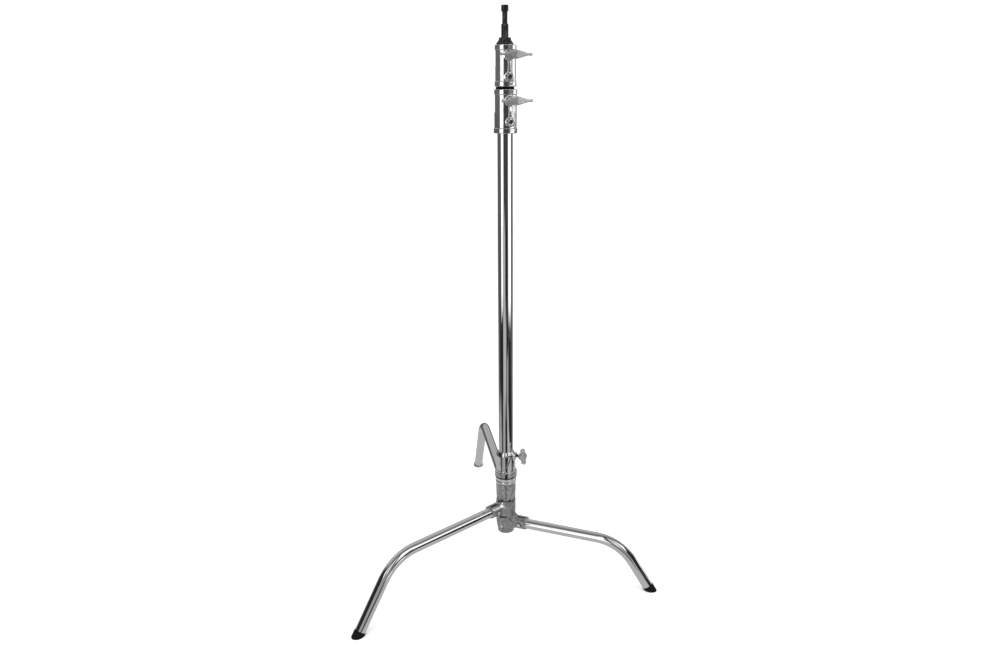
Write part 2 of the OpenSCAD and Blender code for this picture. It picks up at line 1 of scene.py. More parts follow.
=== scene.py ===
"""Looks of the c stand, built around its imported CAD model.

Shapes are drawn in millimetres, each in a local frame, and placed in the row frame in metres.
Castings are distance fields: a function gives how far a point is outside the metal, and a net of quads
is settled on the surface where that distance is 0. Turned and hexagonal parts are lofts through loops.
"""
import json
import math

import bpy
import numpy as np
from mathutils import Euler, Matrix, Vector


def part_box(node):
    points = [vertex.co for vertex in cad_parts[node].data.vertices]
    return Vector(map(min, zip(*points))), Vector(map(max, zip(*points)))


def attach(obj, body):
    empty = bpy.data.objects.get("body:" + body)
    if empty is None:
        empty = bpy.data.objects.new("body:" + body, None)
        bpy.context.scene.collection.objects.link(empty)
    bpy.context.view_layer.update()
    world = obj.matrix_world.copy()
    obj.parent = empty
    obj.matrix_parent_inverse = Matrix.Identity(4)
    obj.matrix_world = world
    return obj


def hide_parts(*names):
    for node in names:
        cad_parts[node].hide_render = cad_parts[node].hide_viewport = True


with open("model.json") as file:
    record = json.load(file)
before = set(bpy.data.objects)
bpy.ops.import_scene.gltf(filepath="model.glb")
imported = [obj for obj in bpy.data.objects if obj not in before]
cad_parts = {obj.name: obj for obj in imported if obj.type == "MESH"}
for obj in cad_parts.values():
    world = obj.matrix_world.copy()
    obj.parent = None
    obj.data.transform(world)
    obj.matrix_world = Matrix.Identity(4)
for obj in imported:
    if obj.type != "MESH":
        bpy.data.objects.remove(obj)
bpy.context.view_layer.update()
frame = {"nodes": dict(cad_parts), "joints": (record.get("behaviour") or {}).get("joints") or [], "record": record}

MM = 0.001
AROUND = 96                  # points around a turned part
SHARP_ANGLE = 38             # degrees; lofts are smooth where their faces meet at less
CELL = 0.8                   # of the grid that a casting's net is drawn on
JOINTS = {j["name"]: j for j in frame["joints"]}
MOUNTS = {m["name"]: m for m in frame["record"]["mounts"]}


# ---- Places, read from the frame ----

def low(node):
    """A CAD node's lowest corner in millimetres."""
    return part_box(node)[0] / MM


def high(node):
    """A CAD node's highest corner in millimetres."""
    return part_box(node)[1] / MM


def azimuth_of(vector):
    return math.degrees(math.atan2(vector[1], vector[0]))


def joint_azimuth(name):
    return azimuth_of(JOINTS[name]["axis"])


def joint_height(name):
    return JOINTS[name]["pos_m"][2] / MM


def turn(degrees, axis):
    return Matrix.Rotation(math.radians(degrees), 4, axis)


def shift(x=0.0, y=0.0, z=0.0):
    return Matrix.Translation((x, y, z))


def placed(azimuth=0.0, height=0.0):
    """Local millimetres to the row frame: +X at the azimuth, the origin on the axis at the height."""
    return turn(azimuth, "Z") @ shift(z=height * MM) @ Matrix.Scale(MM, 4)


def at_screw(joint):
    """The place of a lock screw, which lies along +X."""
    return placed(joint_azimuth(joint), joint_height(joint))


PLUG_GAP = 0.1               # between a tube's bore and the plug that runs in it
COLUMN_R = 17.5
RISER_1_R = high("riser_1_tube").x
RISER_2_R = high("riser_2_tube").x
COLUMN_BORE_R = high("riser_1_plug").x + PLUG_GAP
RISER_1_BORE_R = high("riser_2_plug").x + PLUG_GAP
RISER_2_BORE_R = RISER_2_R - 1.6

LEG_BEND_R = 110.0
LEG_FALL = math.radians(55)
LEG_ROOT = 26.0
LEG_WALL = 2.0
LEG_LIFT = 3.0               # from the floor to the cut end of a leg's tube
BOOT_WALL = 1.0

HUB_R = 24.5
ARM_R = 15.5
ARM_END = 57.0
ARM_TOP = 14.6
ARM_BEVEL = 17.6
ARM_FILLET = 9.0
ARM_BOLT_AT = 41.0
SLOT_FROM, SLOT_TO = 31, 53
SLOT_HALF = 3.2
BOLT_HOLE_R = 3.1
HUB_SCREW = {"shank_r": 3, "head_r": 4.6, "head_h": 3, "flats": 4}

HANDLE_OUT = 66              # from the column's axis to a T handle's wing
KNOB_OUT = 46
CLAMP_SCREW_Z = -46.0        # from a lock's handle screw down to its clamp screw


# ---- Distance fields, in millimetres ----

def merge(a, b, fillet=0.0):
    """Two shapes joined, with a fillet where they meet."""
    if fillet == 0:
        return np.minimum(a, b)
    near = np.maximum(fillet - np.abs(a - b), 0) / fillet
    return np.minimum(a, b) - near * near * fillet / 4


def cut(a, b, rounding=0.0):
    """Shape a with shape b taken out, its new edges rounded."""
    return -merge(-a, b, rounding)


def common(a, b, rounding=0.0):
    """Where both shapes are, with the edges between them rounded."""
    return -merge(-a, -b, rounding)


def rod(along, across, up, r, start, end, edge=0.0):
    """A round bar from start to end of its own axis, its end edges rounded."""
    radial = np.hypot(across, up) - r + edge
    axial = np.abs(along - (start + end) / 2) - (end - start) / 2 + edge
    outside = np.hypot(np.maximum(radial, 0), np.maximum(axial, 0))
    return outside + np.minimum(np.maximum(radial, axial), 0) - edge


def drum(r, z, radius, foot, head, edge):
    """A round body on the upright axis, r away from it, whose radius may change with height."""
    return common(r - radius, np.abs(z - (foot + head) / 2) - (head - foot) / 2, edge)


def block(x, y, z, lows, highs, edge=0.0):
    """A box between two corners, its edges rounded."""
    beyond = [
        np.abs(v - (a + b) / 2) - (b - a) / 2 + edge
        for v, a, b in zip((x, y, z), lows, highs)
    ]
    outside = np.sqrt(sum(np.maximum(d, 0) ** 2 for d in beyond))
    return outside + np.minimum(np.maximum.reduce(beyond), 0) - edge


def step_up(value, start, end):
    """0 before start, 1 after end, and a smooth rise between."""
    t = np.clip((value - start) / (end - start), 0, 1)
    return t * t * (3 - 2 * t)


def peak(value, width):
    """1 at 0, falling smoothly to nothing on both sides."""
    return np.exp(-(value / width) ** 2)


def rim_length(x, y, centre):
    """Millimetres round the axis from the azimuth centre."""
    off = (np.degrees(np.arctan2(y, x)) - centre + 180) % 360 - 180
    return off * np.hypot(x, y) * math.pi / 180


# ---- Nets on distance fields ----

def crossings(value):
    """Grid edges that cross the surface, as (axis, lower end, point, starts inside)."""
    found = []
    for axis in range(3):
        a = np.moveaxis(value, axis, 0)[:-1]
        b = np.moveaxis(value, axis, 0)[1:]
        place = np.argwhere((a < 0) != (b < 0))
        starts, ends = a[tuple(place.T)], b[tuple(place.T)]
        place = np.insert(place[:, 1:], axis, place[:, 0], axis=1)
        point = place.astype(float)
        point[:, axis] += starts / (starts - ends)
        found.append((axis, place, point, starts < 0))
    return found


def neighbours(cells, axis, place):
    """The four cells round each grid edge, in order, as flat numbers."""
    one, two = np.zeros(3, int), np.zeros(3, int)
    one[(axis + 1) % 3] = 1
    two[(axis + 2) % 3] = 1
    around = [place, place - one, place - one - two, place - two]
    return np.stack([np.ravel_multi_index(p.T, cells) for p in around], axis=1)


def average(count, index, points):
    """The mean of the points that go to each index."""
    flat = index.ravel()
    weight = np.maximum(np.bincount(flat, minlength=count), 1)
    sums = [np.bincount(flat, weights=points[:, i], minlength=count) for i in range(3)]
    return np.stack(sums, axis=1) / weight[:, None]


def gradient(field, points, reach=0.05):
    """The field's slope at each point."""
    slope = np.empty_like(points)
    for axis in range(3):
        step = np.zeros(3)
        step[axis] = reach
        slope[:, axis] = (field(*(points + step).T) - field(*(points - step).T)) / (2 * reach)
    return slope


def settle(field, points, rounds):
    """Points moved onto the surface."""
    for _ in range(rounds):
        slope = gradient(field, points)
        steep = np.maximum((slope ** 2).sum(1), 0.05)
        points = points - slope * (np.clip(field(*points.T), -1, 1) / steep)[:, None]
    return points


def casting_net(field, lows, highs, cell):
    """A net of quads on the surface of a field, with its normals and how sharp an edge each point is on."""
    starts = [a - 2.5 * cell for a in lows]
    axes = [np.arange(a, b + 2.5 * cell, cell) for a, b in zip(starts, highs)]
    value = field(*np.meshgrid(*axes, indexing="ij"))
    cells = tuple(n - 1 for n in value.shape)
    quads, around, points = [], [], []
    for axis, place, point, inside_first in crossings(value):
        ring = neighbours(cells, axis, place)
        around.append(ring.ravel())
        points.append(np.repeat(point, 4, axis=0))
        quads.append(np.where(inside_first[:, None], ring, ring[:, ::-1]))
    around, quads = np.concatenate(around), np.concatenate(quads)
    used, number = np.unique(around, return_inverse=True)
    points = average(len(used), number, np.concatenate(points))
    points = np.array(starts) + points * cell
    quads = np.searchsorted(used, quads)
    points = relaxed(field, points, quads)
    normals = gradient(field, points)
    normals /= np.linalg.norm(normals, axis=1)[:, None] + 1e-9
    return points, quads, normals, edge_sharpness(points, quads, normals)


def relaxed(field, points, quads, rounds=3):
    """The net made more even: each point moves towards its neighbours, then back to the surface."""
    points = settle(field, points, 3)
    ends = np.concatenate([quads[:, [i, (i + 1) % 4]] for i in range(4)])
    ends = np.concatenate([ends, ends[:, ::-1]])
    for _ in range(rounds):
        middle = average(len(points), ends[:, 0], points[ends[:, 1]])
        points = settle(field, points + 0.6 * (middle - points), 2)
    return points


def edge_sharpness(points, quads, normals):
    """Above 0 on outward edges and below 0 in corners."""
    ends = np.concatenate([quads[:, [i, (i + 1) % 4]] for i in range(4)])
    change = normals[ends[:, 1]] - normals[ends[:, 0]]
    span = points[ends[:, 1]] - points[ends[:, 0]]
    bend = (change * span).sum(1) / np.maximum((span ** 2).sum(1), 1e-6)
    weight = np.maximum(np.bincount(ends[:, 0], minlength=len(points)), 1)
    return np.bincount(ends[:, 0], weights=bend, minlength=len(points)) / weight


# ---- Lofts ----

def rounded(corners, radius, steps=4):
    """A profile of (radius, height) corners, its inner corners rounded; the third value marks roundings."""
    corners = [np.array(c, float) for c in corners]
    points = [(*corners[0], 0.0)]
    for before, here, after in zip(corners, corners[1:], corners[2:]):
        back, on = before - here, after - here
        reach = min(radius, 0.45 * np.linalg.norm(back), 0.45 * np.linalg.norm(on))
        start = here + back / np.linalg.norm(back) * reach
        end = here + on / np.linalg.norm(on) * reach
        for i in range(steps + 1):
            t = i / steps
            spot = (1 - t) ** 2 * start + 2 * t * (1 - t) * here + t * t * end
            points.append((*spot, 1.0))
    points.append((*corners[-1], 0.0))
    return points


def round_loop(r, z, around=AROUND):
    """Points round the axis; r is one radius or one for each point."""
    angle = np.linspace(0, 2 * math.pi, around, endpoint=False)
    return np.stack([r * np.cos(angle), r * np.sin(angle), np.full(around, float(z))], axis=1)


def hex_loop(flats, z, around=AROUND):
    """A hexagon with the same number of points as a round loop; flats is its width across flats."""
    angle = np.linspace(0, 2 * math.pi, around, endpoint=False)
    from_flat = (angle + math.pi / 6) % (math.pi / 3) - math.pi / 6
    return round_loop(flats / 2 / np.cos(from_flat), z, around)


def loft(loops, marks=None, joined=False):
    """A skin through loops: closed by flat caps, or joined from the last loop to the first."""
    count, around = len(loops), len(loops[0])
    points = np.concatenate(loops)
    faces = []
    for i in range(count if joined else count - 1):
        j = (i + 1) % count
        for k in range(around):
            m = (k + 1) % around
            faces.append((i * around + k, i * around + m, j * around + m, j * around + k))
    if not joined:
        faces.append(tuple(range(around - 1, -1, -1)))
        faces.append(tuple((count - 1) * around + k for k in range(around)))
    edge = np.repeat(marks if marks else [0.0] * count, around)
    return {"points": points, "faces": faces, "edge": edge}


def turned(corners, radius=0.5, joined=False):
    """A lathe-turned shape from (radius, height) corners, capped at both ends or joined into a ring."""
    profile = rounded(corners, radius)
    return loft([round_loop(r, z) for r, z, _ in profile], [mark for _, _, mark in profile], joined)


def tube_profile(outer, inner, foot, head, lip=0.4):
    """Corners of a tube's half section, once round: up the outside and down the bore."""
    middle = (foot + head) / 2
    return [
        (outer, middle), (outer, head - lip), (outer - lip, head), (inner + lip, head),
        (inner, head - lip), (inner, foot + lip), (inner + lip, foot), (outer - lip, foot),
        (outer, foot + lip), (outer, middle)
    ]


def threaded(r, pitch, start, end, depth=0.6, around=24):
    """A threaded rod along +Z with chamfered ends."""
    per_turn = 6
    count = int((end - start) / pitch * per_turn)
    angle = np.linspace(0, 1, around, endpoint=False)
    loops = [round_loop(r - 1.5 * depth, start, around)]
    for i in range(1, count):
        z = start + (end - start) * i / count
        phase = (z / pitch - angle) % 1
        groove = depth * np.abs(2 * phase - 1)
        taper = min(1.0, (z - start) / pitch, (end - z) / pitch)
        loops.append(round_loop((r - groove) * (0.85 + 0.15 * taper), z, around))
    loops.append(round_loop(r - 1.5 * depth, end, around))
    return loft(loops)


def socket_head(shank_r, shank_len, head_r, head_h, flats, around=48):
    """A hex socket screw along +Z, its head's underside at 0."""
    outside = [
        (shank_r - 0.6, -shank_len), (shank_r, -shank_len + 0.6), (shank_r, -0.1), (head_r - 0.3, 0),
        (head_r, 0.3), (head_r, head_h - 0.7), (head_r - 0.2, head_h - 0.2), (head_r - 0.7, head_h)
    ]
    socket = [
        (flats + 0.5, head_h), (flats, head_h - 0.3), (flats, 0.4 * head_h), (flats - 1.2, 0.3 * head_h)
    ]
    loops = [round_loop(r, z, around) for r, z in outside]
    loops += [hex_loop(width, z, around) for width, z in socket]
    return loft(loops, [0, 0, 0, 1, 1, 1, 1, 1, 1, 0, 0, 0])


def hex_nut(flats, height, bore_r, around=48):
    """A chamfered nut standing on 0."""
    chamfer_r = flats / 2 - 0.3
    loops = [
        round_loop(bore_r, height / 2, around), round_loop(bore_r, 0.4, around),
        round_loop(bore_r + 0.4, 0, around), round_loop(chamfer_r, 0, around),
        hex_loop(flats, 0.7, around), hex_loop(flats, height - 0.7, around),
        round_loop(chamfer_r, height, around), round_loop(bore_r + 0.4, height, around),
        round_loop(bore_r, height - 0.4, around)
    ]
    return loft([loop[::-1] for loop in loops], [0, 0, 0, 1, 1, 1, 1, 0, 0], joined=True)


# ---- Pieces ----

def new_object(name, points, faces):
    """A mesh object, linked into the scene."""
    mesh = bpy.data.meshes.new(name)
    mesh.from_pydata(points, [], faces)
    obj = bpy.data.objects.new(name, mesh)
    bpy.context.scene.collection.objects.link(obj)
    return obj


def attribute(obj, name, values, kind="FLOAT", key="value"):
    """Stores a value for each point of a piece."""
    data = obj.data.attributes.new(name, kind, "POINT").data
    data.foreach_set(key, np.asarray(values, np.float32).ravel())


def piece(name, shape, place, body, slot, *nodes):
    """Makes a mesh piece of a shape, in the place of its CAD nodes, on their body."""
    obj = new_object(name, shape["points"].tolist(), [tuple(f) for f in shape["faces"]])
    mesh = obj.data
    mesh.validate()
    attribute(obj, "edge", shape["edge"])
    attribute(obj, "run", np.asarray(shape.get("run", shape["points"])) * MM, "FLOAT_VECTOR", "vector")
    mesh.transform(place)
    mesh.shade_smooth()
    if "normals" in shape:
        rotation = np.array(place.to_3x3()) / MM
        mesh.normals_split_custom_set_from_vertices((shape["normals"] @ rotation.T).tolist())
    else:
        mesh.set_sharp_from_angle(angle=math.radians(SHARP_ANGLE))
        obj.modifiers.new("even_faces", "WEIGHTED_NORMAL").keep_sharp = True
    mesh.materials.append(MATERIALS[slot])
    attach(obj, body)
    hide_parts(*nodes)
    return obj


def cast(name, field, lows, highs, place, body, slot, *nodes, cell=CELL):
    """A piece that is a net on a distance field, which lies between two corners."""
    points, quads, normals, edge = casting_net(field, lows, highs, cell)
    shape = {"points": points, "faces": quads.tolist(), "normals": normals, "edge": edge}
    return piece(name, shape, place, body, slot, *nodes)


def local_points(obj, place):
    """A piece's points in the millimetres of its own place."""
    points = np.empty(3 * len(obj.data.vertices))
    obj.data.vertices.foreach_get("co", points)
    back = np.array(place.inverted())
    return points.reshape(-1, 3) @ back[:3, :3].T + back[:3, 3]


# ---- Materials ----

def rgba(colour):
    """A colour with its alpha, from three values or from one grey."""
    return (*colour, 1) if isinstance(colour, tuple) else (colour, colour, colour, 1)


class Shading:
    """Short calls that add nodes to a tree; each gives the new node's output."""

    def __init__(self, tree):
        self.tree = tree

    def node(self, kind, **values):
        made = self.tree.nodes.new("ShaderNode" + kind)
        for key, value in values.items():
            setattr(made, key, value)
        return made

    def feed(self, socket, value):
        """Links a socket to an output, or sets it to a number or a colour."""
        if isinstance(value, bpy.types.NodeSocket):
            self.tree.links.new(value, socket)
        else:
            socket.default_value = value

    def math(self, operation, *values):
        made = self.node("Math", operation=operation)
        for socket, value in zip(made.inputs, values):
            self.feed(socket, value)
        return made.outputs["Value"]

    def levels(self, value, source, target=(0, 1)):
        """A value mapped from one range to another, and kept inside it."""
        made = self.node("MapRange")
        for key, number in zip(("From Min", "From Max", "To Min", "To Max"), (*source, *target)):
            made.inputs[key].default_value = number
        self.feed(made.inputs["Value"], value)
        return made.outputs["Result"]

    def mix(self, factor, a, b):
        """Colour a, and colour b over it where the factor is high."""
        made = self.node("Mix", data_type="RGBA")
        for key, value in (("Factor", factor), ("A", a), ("B", b)):
            self.feed(made.inputs[key], value)
        return made.outputs["Result"]

    def ramp(self, value, stops):
        """A brightness that follows a list of (place from 0 to 1, brightness) stops."""
        made = self.node("ValToRGB")
        elements = made.color_ramp.elements
        while len(elements) > 1:
            elements.remove(elements[0])
        for i, (place, bright) in enumerate(stops):
            element = elements[0] if i == 0 else elements.new(place)
            element.position = place
            element.color = rgba(bright)
        self.feed(made.inputs["Fac"], value)
        return made.outputs["Color"]


class Recipe(Shading):
    """A material with a Principled shader, built up by short calls."""

    def __init__(self, name, colour, metallic, roughness):
        self.material = bpy.data.materials.new(name)
        self.material.use_nodes = True
        super().__init__(self.material.node_tree)
        self.shader = self.tree.nodes["Principled BSDF"]
        self.height = None
        self.set("Base Color", rgba(colour))
        self.set("Metallic", metallic)
        self.set("Roughness", roughness)

    def set(self, key, value):
        self.feed(self.shader.inputs[key], value)

    def place(self, stretch=(1, 1, 1), attribute=None):
        """Coordinates in metres: the piece's own, or those in an attribute."""
        if attribute:
            source = self.node("Attribute", attribute_name=attribute).outputs["Vector"]
        else:
            source = self.node("TexCoord").outputs["Object"]
        mapping = self.node("Mapping")
        self.feed(mapping.inputs["Scale"], stretch)
        self.feed(mapping.inputs["Vector"], source)
        return mapping.outputs["Vector"]

    def noise(self, vector, scale, detail=3.0, roughness=0.5):
        made = self.node("TexNoise")
        values = {"Vector": vector, "Scale": scale, "Detail": detail, "Roughness": roughness}
        for key, value in values.items():
            self.feed(made.inputs[key], value)
        return made.outputs["Fac"]

    def spots(self, vector, scale):
        made = self.node("TexVoronoi")
        self.feed(made.inputs["Scale"], scale)
        self.feed(made.inputs["Vector"], vector)
        return made.outputs["Distance"]

    def attribute(self, name):
        return self.node("Attribute", attribute_name=name).outputs["Fac"]

    def tint(self, factor, colour):
        """Mixes another colour over the base colour where the factor is high."""
        base = self.shader.inputs["Base Color"]
        under = base.links[0].from_socket if base.is_linked else base.default_value[:]
        self.feed(base, self.mix(factor, under, rgba(colour)))

    def stain(self, value, source, amount, colour):
        """Tints from nothing to the amount as a value goes through a range."""
        self.tint(self.levels(value, source, (0, amount)), colour)

    def rough(self, value, source, target):
        """Sets the roughness from a value, by its levels."""
        self.set("Roughness", self.levels(value, source, target))

    def relief(self, value, depth):
        """Adds a bump whose height runs over depth metres."""
        scaled = self.math("MULTIPLY", value, depth)
        self.height = scaled if self.height is None else self.math("ADD", self.height, scaled)

    def done(self):
        if self.height is not None:
            bump = self.node("Bump")
            self.feed(bump.inputs["Strength"], 1.0)
            self.feed(bump.inputs["Distance"], 1.0)
            self.feed(bump.inputs["Height"], self.height)
            self.set("Normal", bump.outputs["Normal"])
        return self.material


def chrome_tube():
    """Polished plate: fine lines along the tube, faint smudges, a trace of ripple, and painted shade inside the
    arms.
    """
    made = Recipe("chrome_tube", (0.83, 0.835, 0.845), 1.0, 0.05)
    lines = made.noise(made.place((1, 1, 0.012), "run"), 1500, 2.0)
    smudge = made.noise(made.place((1, 1, 0.35), "run"), 45, 5.0, 0.6)
    ripple = made.noise(made.place((1, 1, 0.18), "run"), 60, 1.0)
    streaks = made.math("MULTIPLY", lines, 0.05)
    haze = made.levels(smudge, (0.45, 0.75), (0.025, 0.11))
    made.set("Roughness", made.math("ADD", streaks, haze))
    made.stain(smudge, (0.5, 0.8), 0.35, (0.66, 0.665, 0.68))
    # Painted shade: the tube turns near black where the shade attribute marks it inside an arm.
    made.tint(made.attribute("shade"), 0.03)
    made.relief(lines, 1.2e-6)
    made.relief(ripple, 5e-5)
    return made.done()


def chrome_casting():
    """Plate over a polished casting: wavier and softer than the tubes, with a slight orange peel, and painted
    shade in its corners and on marked places.
    """
    made = Recipe("chrome_casting", (0.80, 0.80, 0.81), 1.0, 0.09)
    spot = made.place()
    wave = made.noise(spot, 75, 2.0)
    peel = made.noise(spot, 420, 2.0)
    smudge = made.noise(spot, 55, 5.0, 0.6)
    made.rough(smudge, (0.4, 0.75), (0.05, 0.19))
    made.stain(smudge, (0.5, 0.8), 0.4, (0.60, 0.605, 0.62))
    # Painted shade: darker in the corners, where the edge value is below 0.
    made.stain(made.attribute("edge"), (-0.1, -0.5), 0.6, (0.34, 0.34, 0.35))
    # Painted shade where the shade attribute marks it: the collar's creases, the flange's lower edge and a darker
    # flange band.
    made.tint(made.attribute("shade"), 0.03)
    made.relief(wave, 2.2e-4)
    made.relief(peel, 1.2e-5)
    return made.done()


def cast_hub():
    """Tumbled grey casting: grainy and mottled, rubbed bright on its edges, with painted shade in its corners and
    marked hollows, and a painted highlight where it is polished.
    """
    made = Recipe("cast_hub", (0.44, 0.44, 0.445), 0.95, 0.4)
    spot = made.place()
    grain = made.noise(spot, 900, 4.0, 0.65)
    dents = made.noise(spot, 230, 3.0, 0.6)
    pits = made.spots(spot, 520)
    mottle = made.noise(spot, 120, 5.0, 0.65)
    polish_and_highlight = made.attribute("polish_and_highlight")
    worn = made.levels(grain, (0.3, 0.7), (0.26, 0.48))
    made.set("Roughness", made.math("SUBTRACT", worn, made.math("MULTIPLY", polish_and_highlight, 0.24)))
    made.tint(made.attribute("pale"), 0.62)
    made.stain(mottle, (0.44, 0.64), 0.7, (0.17, 0.17, 0.175))
    # Painted shade where the shade attribute marks it: arm slots, round bolts, joints and beside the seam.
    made.tint(made.attribute("shade"), 0.02)
    # Near white where polished: the rubbing is real, and the tint is also a painted highlight.
    made.tint(polish_and_highlight, 0.97)
    made.stain(made.attribute("edge"), (0.12, 0.6), 0.85, 0.82)
    # Painted shade: dark in the corners, where the edge value is below 0.
    made.stain(made.attribute("edge"), (-0.05, -0.4), 0.85, 0.05)
    made.relief(grain, 6e-5)
    calm = made.math("SUBTRACT", 1.0, made.math("MULTIPLY", polish_and_highlight, 0.35))
    made.relief(made.math("MULTIPLY", made.math("SUBTRACT", dents, 0.5), calm), 3.2e-4)
    made.relief(pits, 5e-5)
    return made.done()


def satin_handle():
    """Satin cast metal with a fine grain and lighter rubbed edges."""
    made = Recipe("satin_handle", (0.80, 0.80, 0.81), 1.0, 0.36)
    spot = made.place()
    grain = made.noise(spot, 1300, 3.0, 0.6)
    mottle = made.noise(spot, 160, 4.0)
    made.rough(grain, (0.3, 0.7), (0.36, 0.52))
    made.stain(mottle, (0.4, 0.7), 0.6, (0.58, 0.58, 0.59))
    made.stain(made.attribute("edge"), (0.1, 0.5), 0.6, 0.92)
    made.relief(grain, 1.4e-5)
    return made.done()


def black_pin():
    """Glossy black oxide, with dull patches and its edges rubbed a little."""
    made = Recipe("black_pin", (0.008, 0.008, 0.009), 0.0, 0.16)
    made.set("Specular IOR Level", 0.24)
    patch = made.noise(made.place((1, 1, 0.3)), 170, 4.0, 0.6)
    lines = made.noise(made.place((1, 1, 0.04)), 1800, 2.0)
    worn = made.math("MULTIPLY", made.attribute("edge"), made.levels(patch, (0.5, 0.7), (0, 0.3)))
    made.rough(patch, (0.35, 0.7), (0.08, 0.26))
    made.tint(worn, (0.20, 0.20, 0.21))
    made.relief(lines, 2e-6)
    return made.done()


def clouded(name, colour, metallic, cloud, rough, stain, grain, depth, stretch=(1, 1, 1), specular=0.5):
    """A plain material: a cloud in its roughness and colour, and a fine grain in relief."""
    made = Recipe(name, colour, metallic, 0.5)
    made.set("Specular IOR Level", specular)
    patch = made.noise(made.place(), *cloud)
    made.rough(patch, *rough)
    made.stain(patch, *stain)
    made.relief(made.noise(made.place(stretch), *grain), depth)
    return made.done()


def steel_fastener():
    """Bright zinc: faint turning marks and a little tarnish."""
    tarnish = (0.5, 0.75), 0.6, (0.56, 0.55, 0.53)
    return clouded("steel_fastener", (0.88, 0.88, 0.89), 1.0, (380, 4.0, 0.6), ((0.35, 0.7), (0.12, 0.3)),
                   tarnish, (2200, 2.0), 6e-6)


def dark_steel():
    """Oiled black steel, rubbed bright here and there."""
    return clouded("dark_steel", (0.13, 0.13, 0.135), 1.0, (420, 4.0, 0.6), ((0.35, 0.7), (0.24, 0.5)),
                   ((0.55, 0.75), 0.7, 0.38), (2000, 2.0), 6e-6)


def rubber():
    """Matt black moulded rubber with a fine texture and greyer scuffs."""
    return clouded("rubber", (0.006, 0.006, 0.0065), 0.0, (90, 5.0, 0.65), ((0.3, 0.7), (0.5, 0.78)),
                   ((0.55, 0.8), 0.5, 0.025), (1100, 3.0), 3e-5, specular=0.08)


def nylon(name, colour, stained):
    """Turned nylon with tool marks and slight staining."""
    return clouded(name, colour, 0.0, (130, 4.0, 0.6), ((0.35, 0.7), (0.36, 0.55)),
                   ((0.45, 0.75), 0.5, stained), (2600, 1.0), 8e-6, stretch=(0.05, 0.05, 1))


def all_materials():
    """Each slot's material, by the slot's name."""
    recipes = (
        chrome_tube, chrome_casting, cast_hub, satin_handle, black_pin, steel_fastener, dark_steel, rubber
    )
    made = {recipe.__name__: recipe() for recipe in recipes}
    made["white_nylon"] = nylon("white_nylon", (0.80, 0.79, 0.74), (0.62, 0.60, 0.53))
    made["black_nylon"] = nylon("black_nylon", 0.018, 0.04)
    return made


# ---- Tubes ----

def build_tubes():
    for name, node, body, r, bore_r in (
            ("column", "column_tube", "base", COLUMN_R, COLUMN_BORE_R),
            ("lower_riser", "riser_1_tube", "riser_1", RISER_1_R, RISER_1_BORE_R),
            ("upper_riser", "riser_2_tube", "riser_2", RISER_2_R, RISER_2_BORE_R)):
        profile = tube_profile(r, bore_r, low(node).z, high(node).z)
        piece(name, turned(profile, 0.3, joined=True), placed(), body, "chrome_tube", node)


class Leg:
    """A leg's places, from its foot mount, its bolt and its tube."""

    def __init__(self, name, body, side):
        foot_at = MOUNTS[name + "_foot"]["pos_m"]
        self.name = name
        self.body = body
        self.side = side           # the side of the arm that has the bolt's head, 1 or -1
        self.azimuth = azimuth_of(foot_at)
        self.reach = math.hypot(foot_at[0], foot_at[1]) / MM
        self.height = (low(name + "_bolt").z + high(name + "_bolt").z) / 2
        self.r = high(name + "_tube").z - self.height
        end_gap = (LEG_LIFT + self.r * math.cos(LEG_FALL)) / math.sin(LEG_FALL)
        self.end_x = self.reach - end_gap * math.cos(LEG_FALL)
        self.end_z = end_gap * math.sin(LEG_FALL)

    def middle_line(self):
        """Points along the tube's middle and the tangent's fall at each, in the leg's own upright plane."""
        corner = self.reach - self.height / math.tan(LEG_FALL)
        bend_at = corner - LEG_BEND_R * math.tan(LEG_FALL / 2)
        straight = np.linspace(ARM_END + 5, bend_at, 7, endpoint=False)
        line = [(x, self.height, 0.0) for x in (LEG_ROOT, ARM_END - 1, ARM_END, *straight)]
        for fall in np.linspace(0, LEG_FALL, 25):
            x = bend_at + LEG_BEND_R * math.sin(fall)
            z = self.height - LEG_BEND_R * (1 - math.cos(fall))
            line.append((x, z, fall))
        for t in np.linspace(0, 1, 6)[1:]:
            line.append((x + (self.end_x - x) * t, z + (self.end_z - z) * t, LEG_FALL))
        return line


def leg_shape(leg):
    """The bent tube, outside and bore, with the run of the straightened tube for its material."""
    angle = np.linspace(0, 2 * math.pi, 64, endpoint=False)
    sideways, upward = np.cos(angle), np.sin(angle)
    skins, runs = [], []
    for r in (leg.r, leg.r - LEG_WALL):
        loops, lengths, travelled, last = [], [], 0.0, None
        for x, z, fall in leg.middle_line():
            if last:
                travelled += math.dist(last, (x, z))
            last = (x, z)
            ahead = x + r * upward * math.sin(fall)
            loops.append(np.stack([ahead, r * sideways, z + r * upward * math.cos(fall)], 1))
            lengths.append(np.stack([r * sideways, r * upward, np.full(len(angle), travelled)], 1))
        skins.append(loops)
        runs.append(lengths)
    shape = loft([loop[::-1] for loop in skins[0] + skins[1][::-1]], joined=True)
    shape["run"] = np.concatenate([r[::-1] for r in runs[0] + runs[1][::-1]])
    return shape


def leg_foot_field(leg):
    """A rubber boot round the tube's end, cut level by the floor."""
    def field(x, y, z):
        dx, dz = x - leg.end_x, z - leg.end_z
        along = dx * math.cos(LEG_FALL) - dz * math.sin(LEG_FALL)
        up = dx * math.sin(LEG_FALL) + dz * math.cos(LEG_FALL)
        boot = rod(along, y, up, leg.r + BOOT_WALL, 0, 60, 1.0)
        boot = common(boot, -z, 2.0)
        plug = rod(along, y, up, leg.r - LEG_WALL, -20, 4, 0.8)
        return merge(boot, plug, 0.5)

    return field


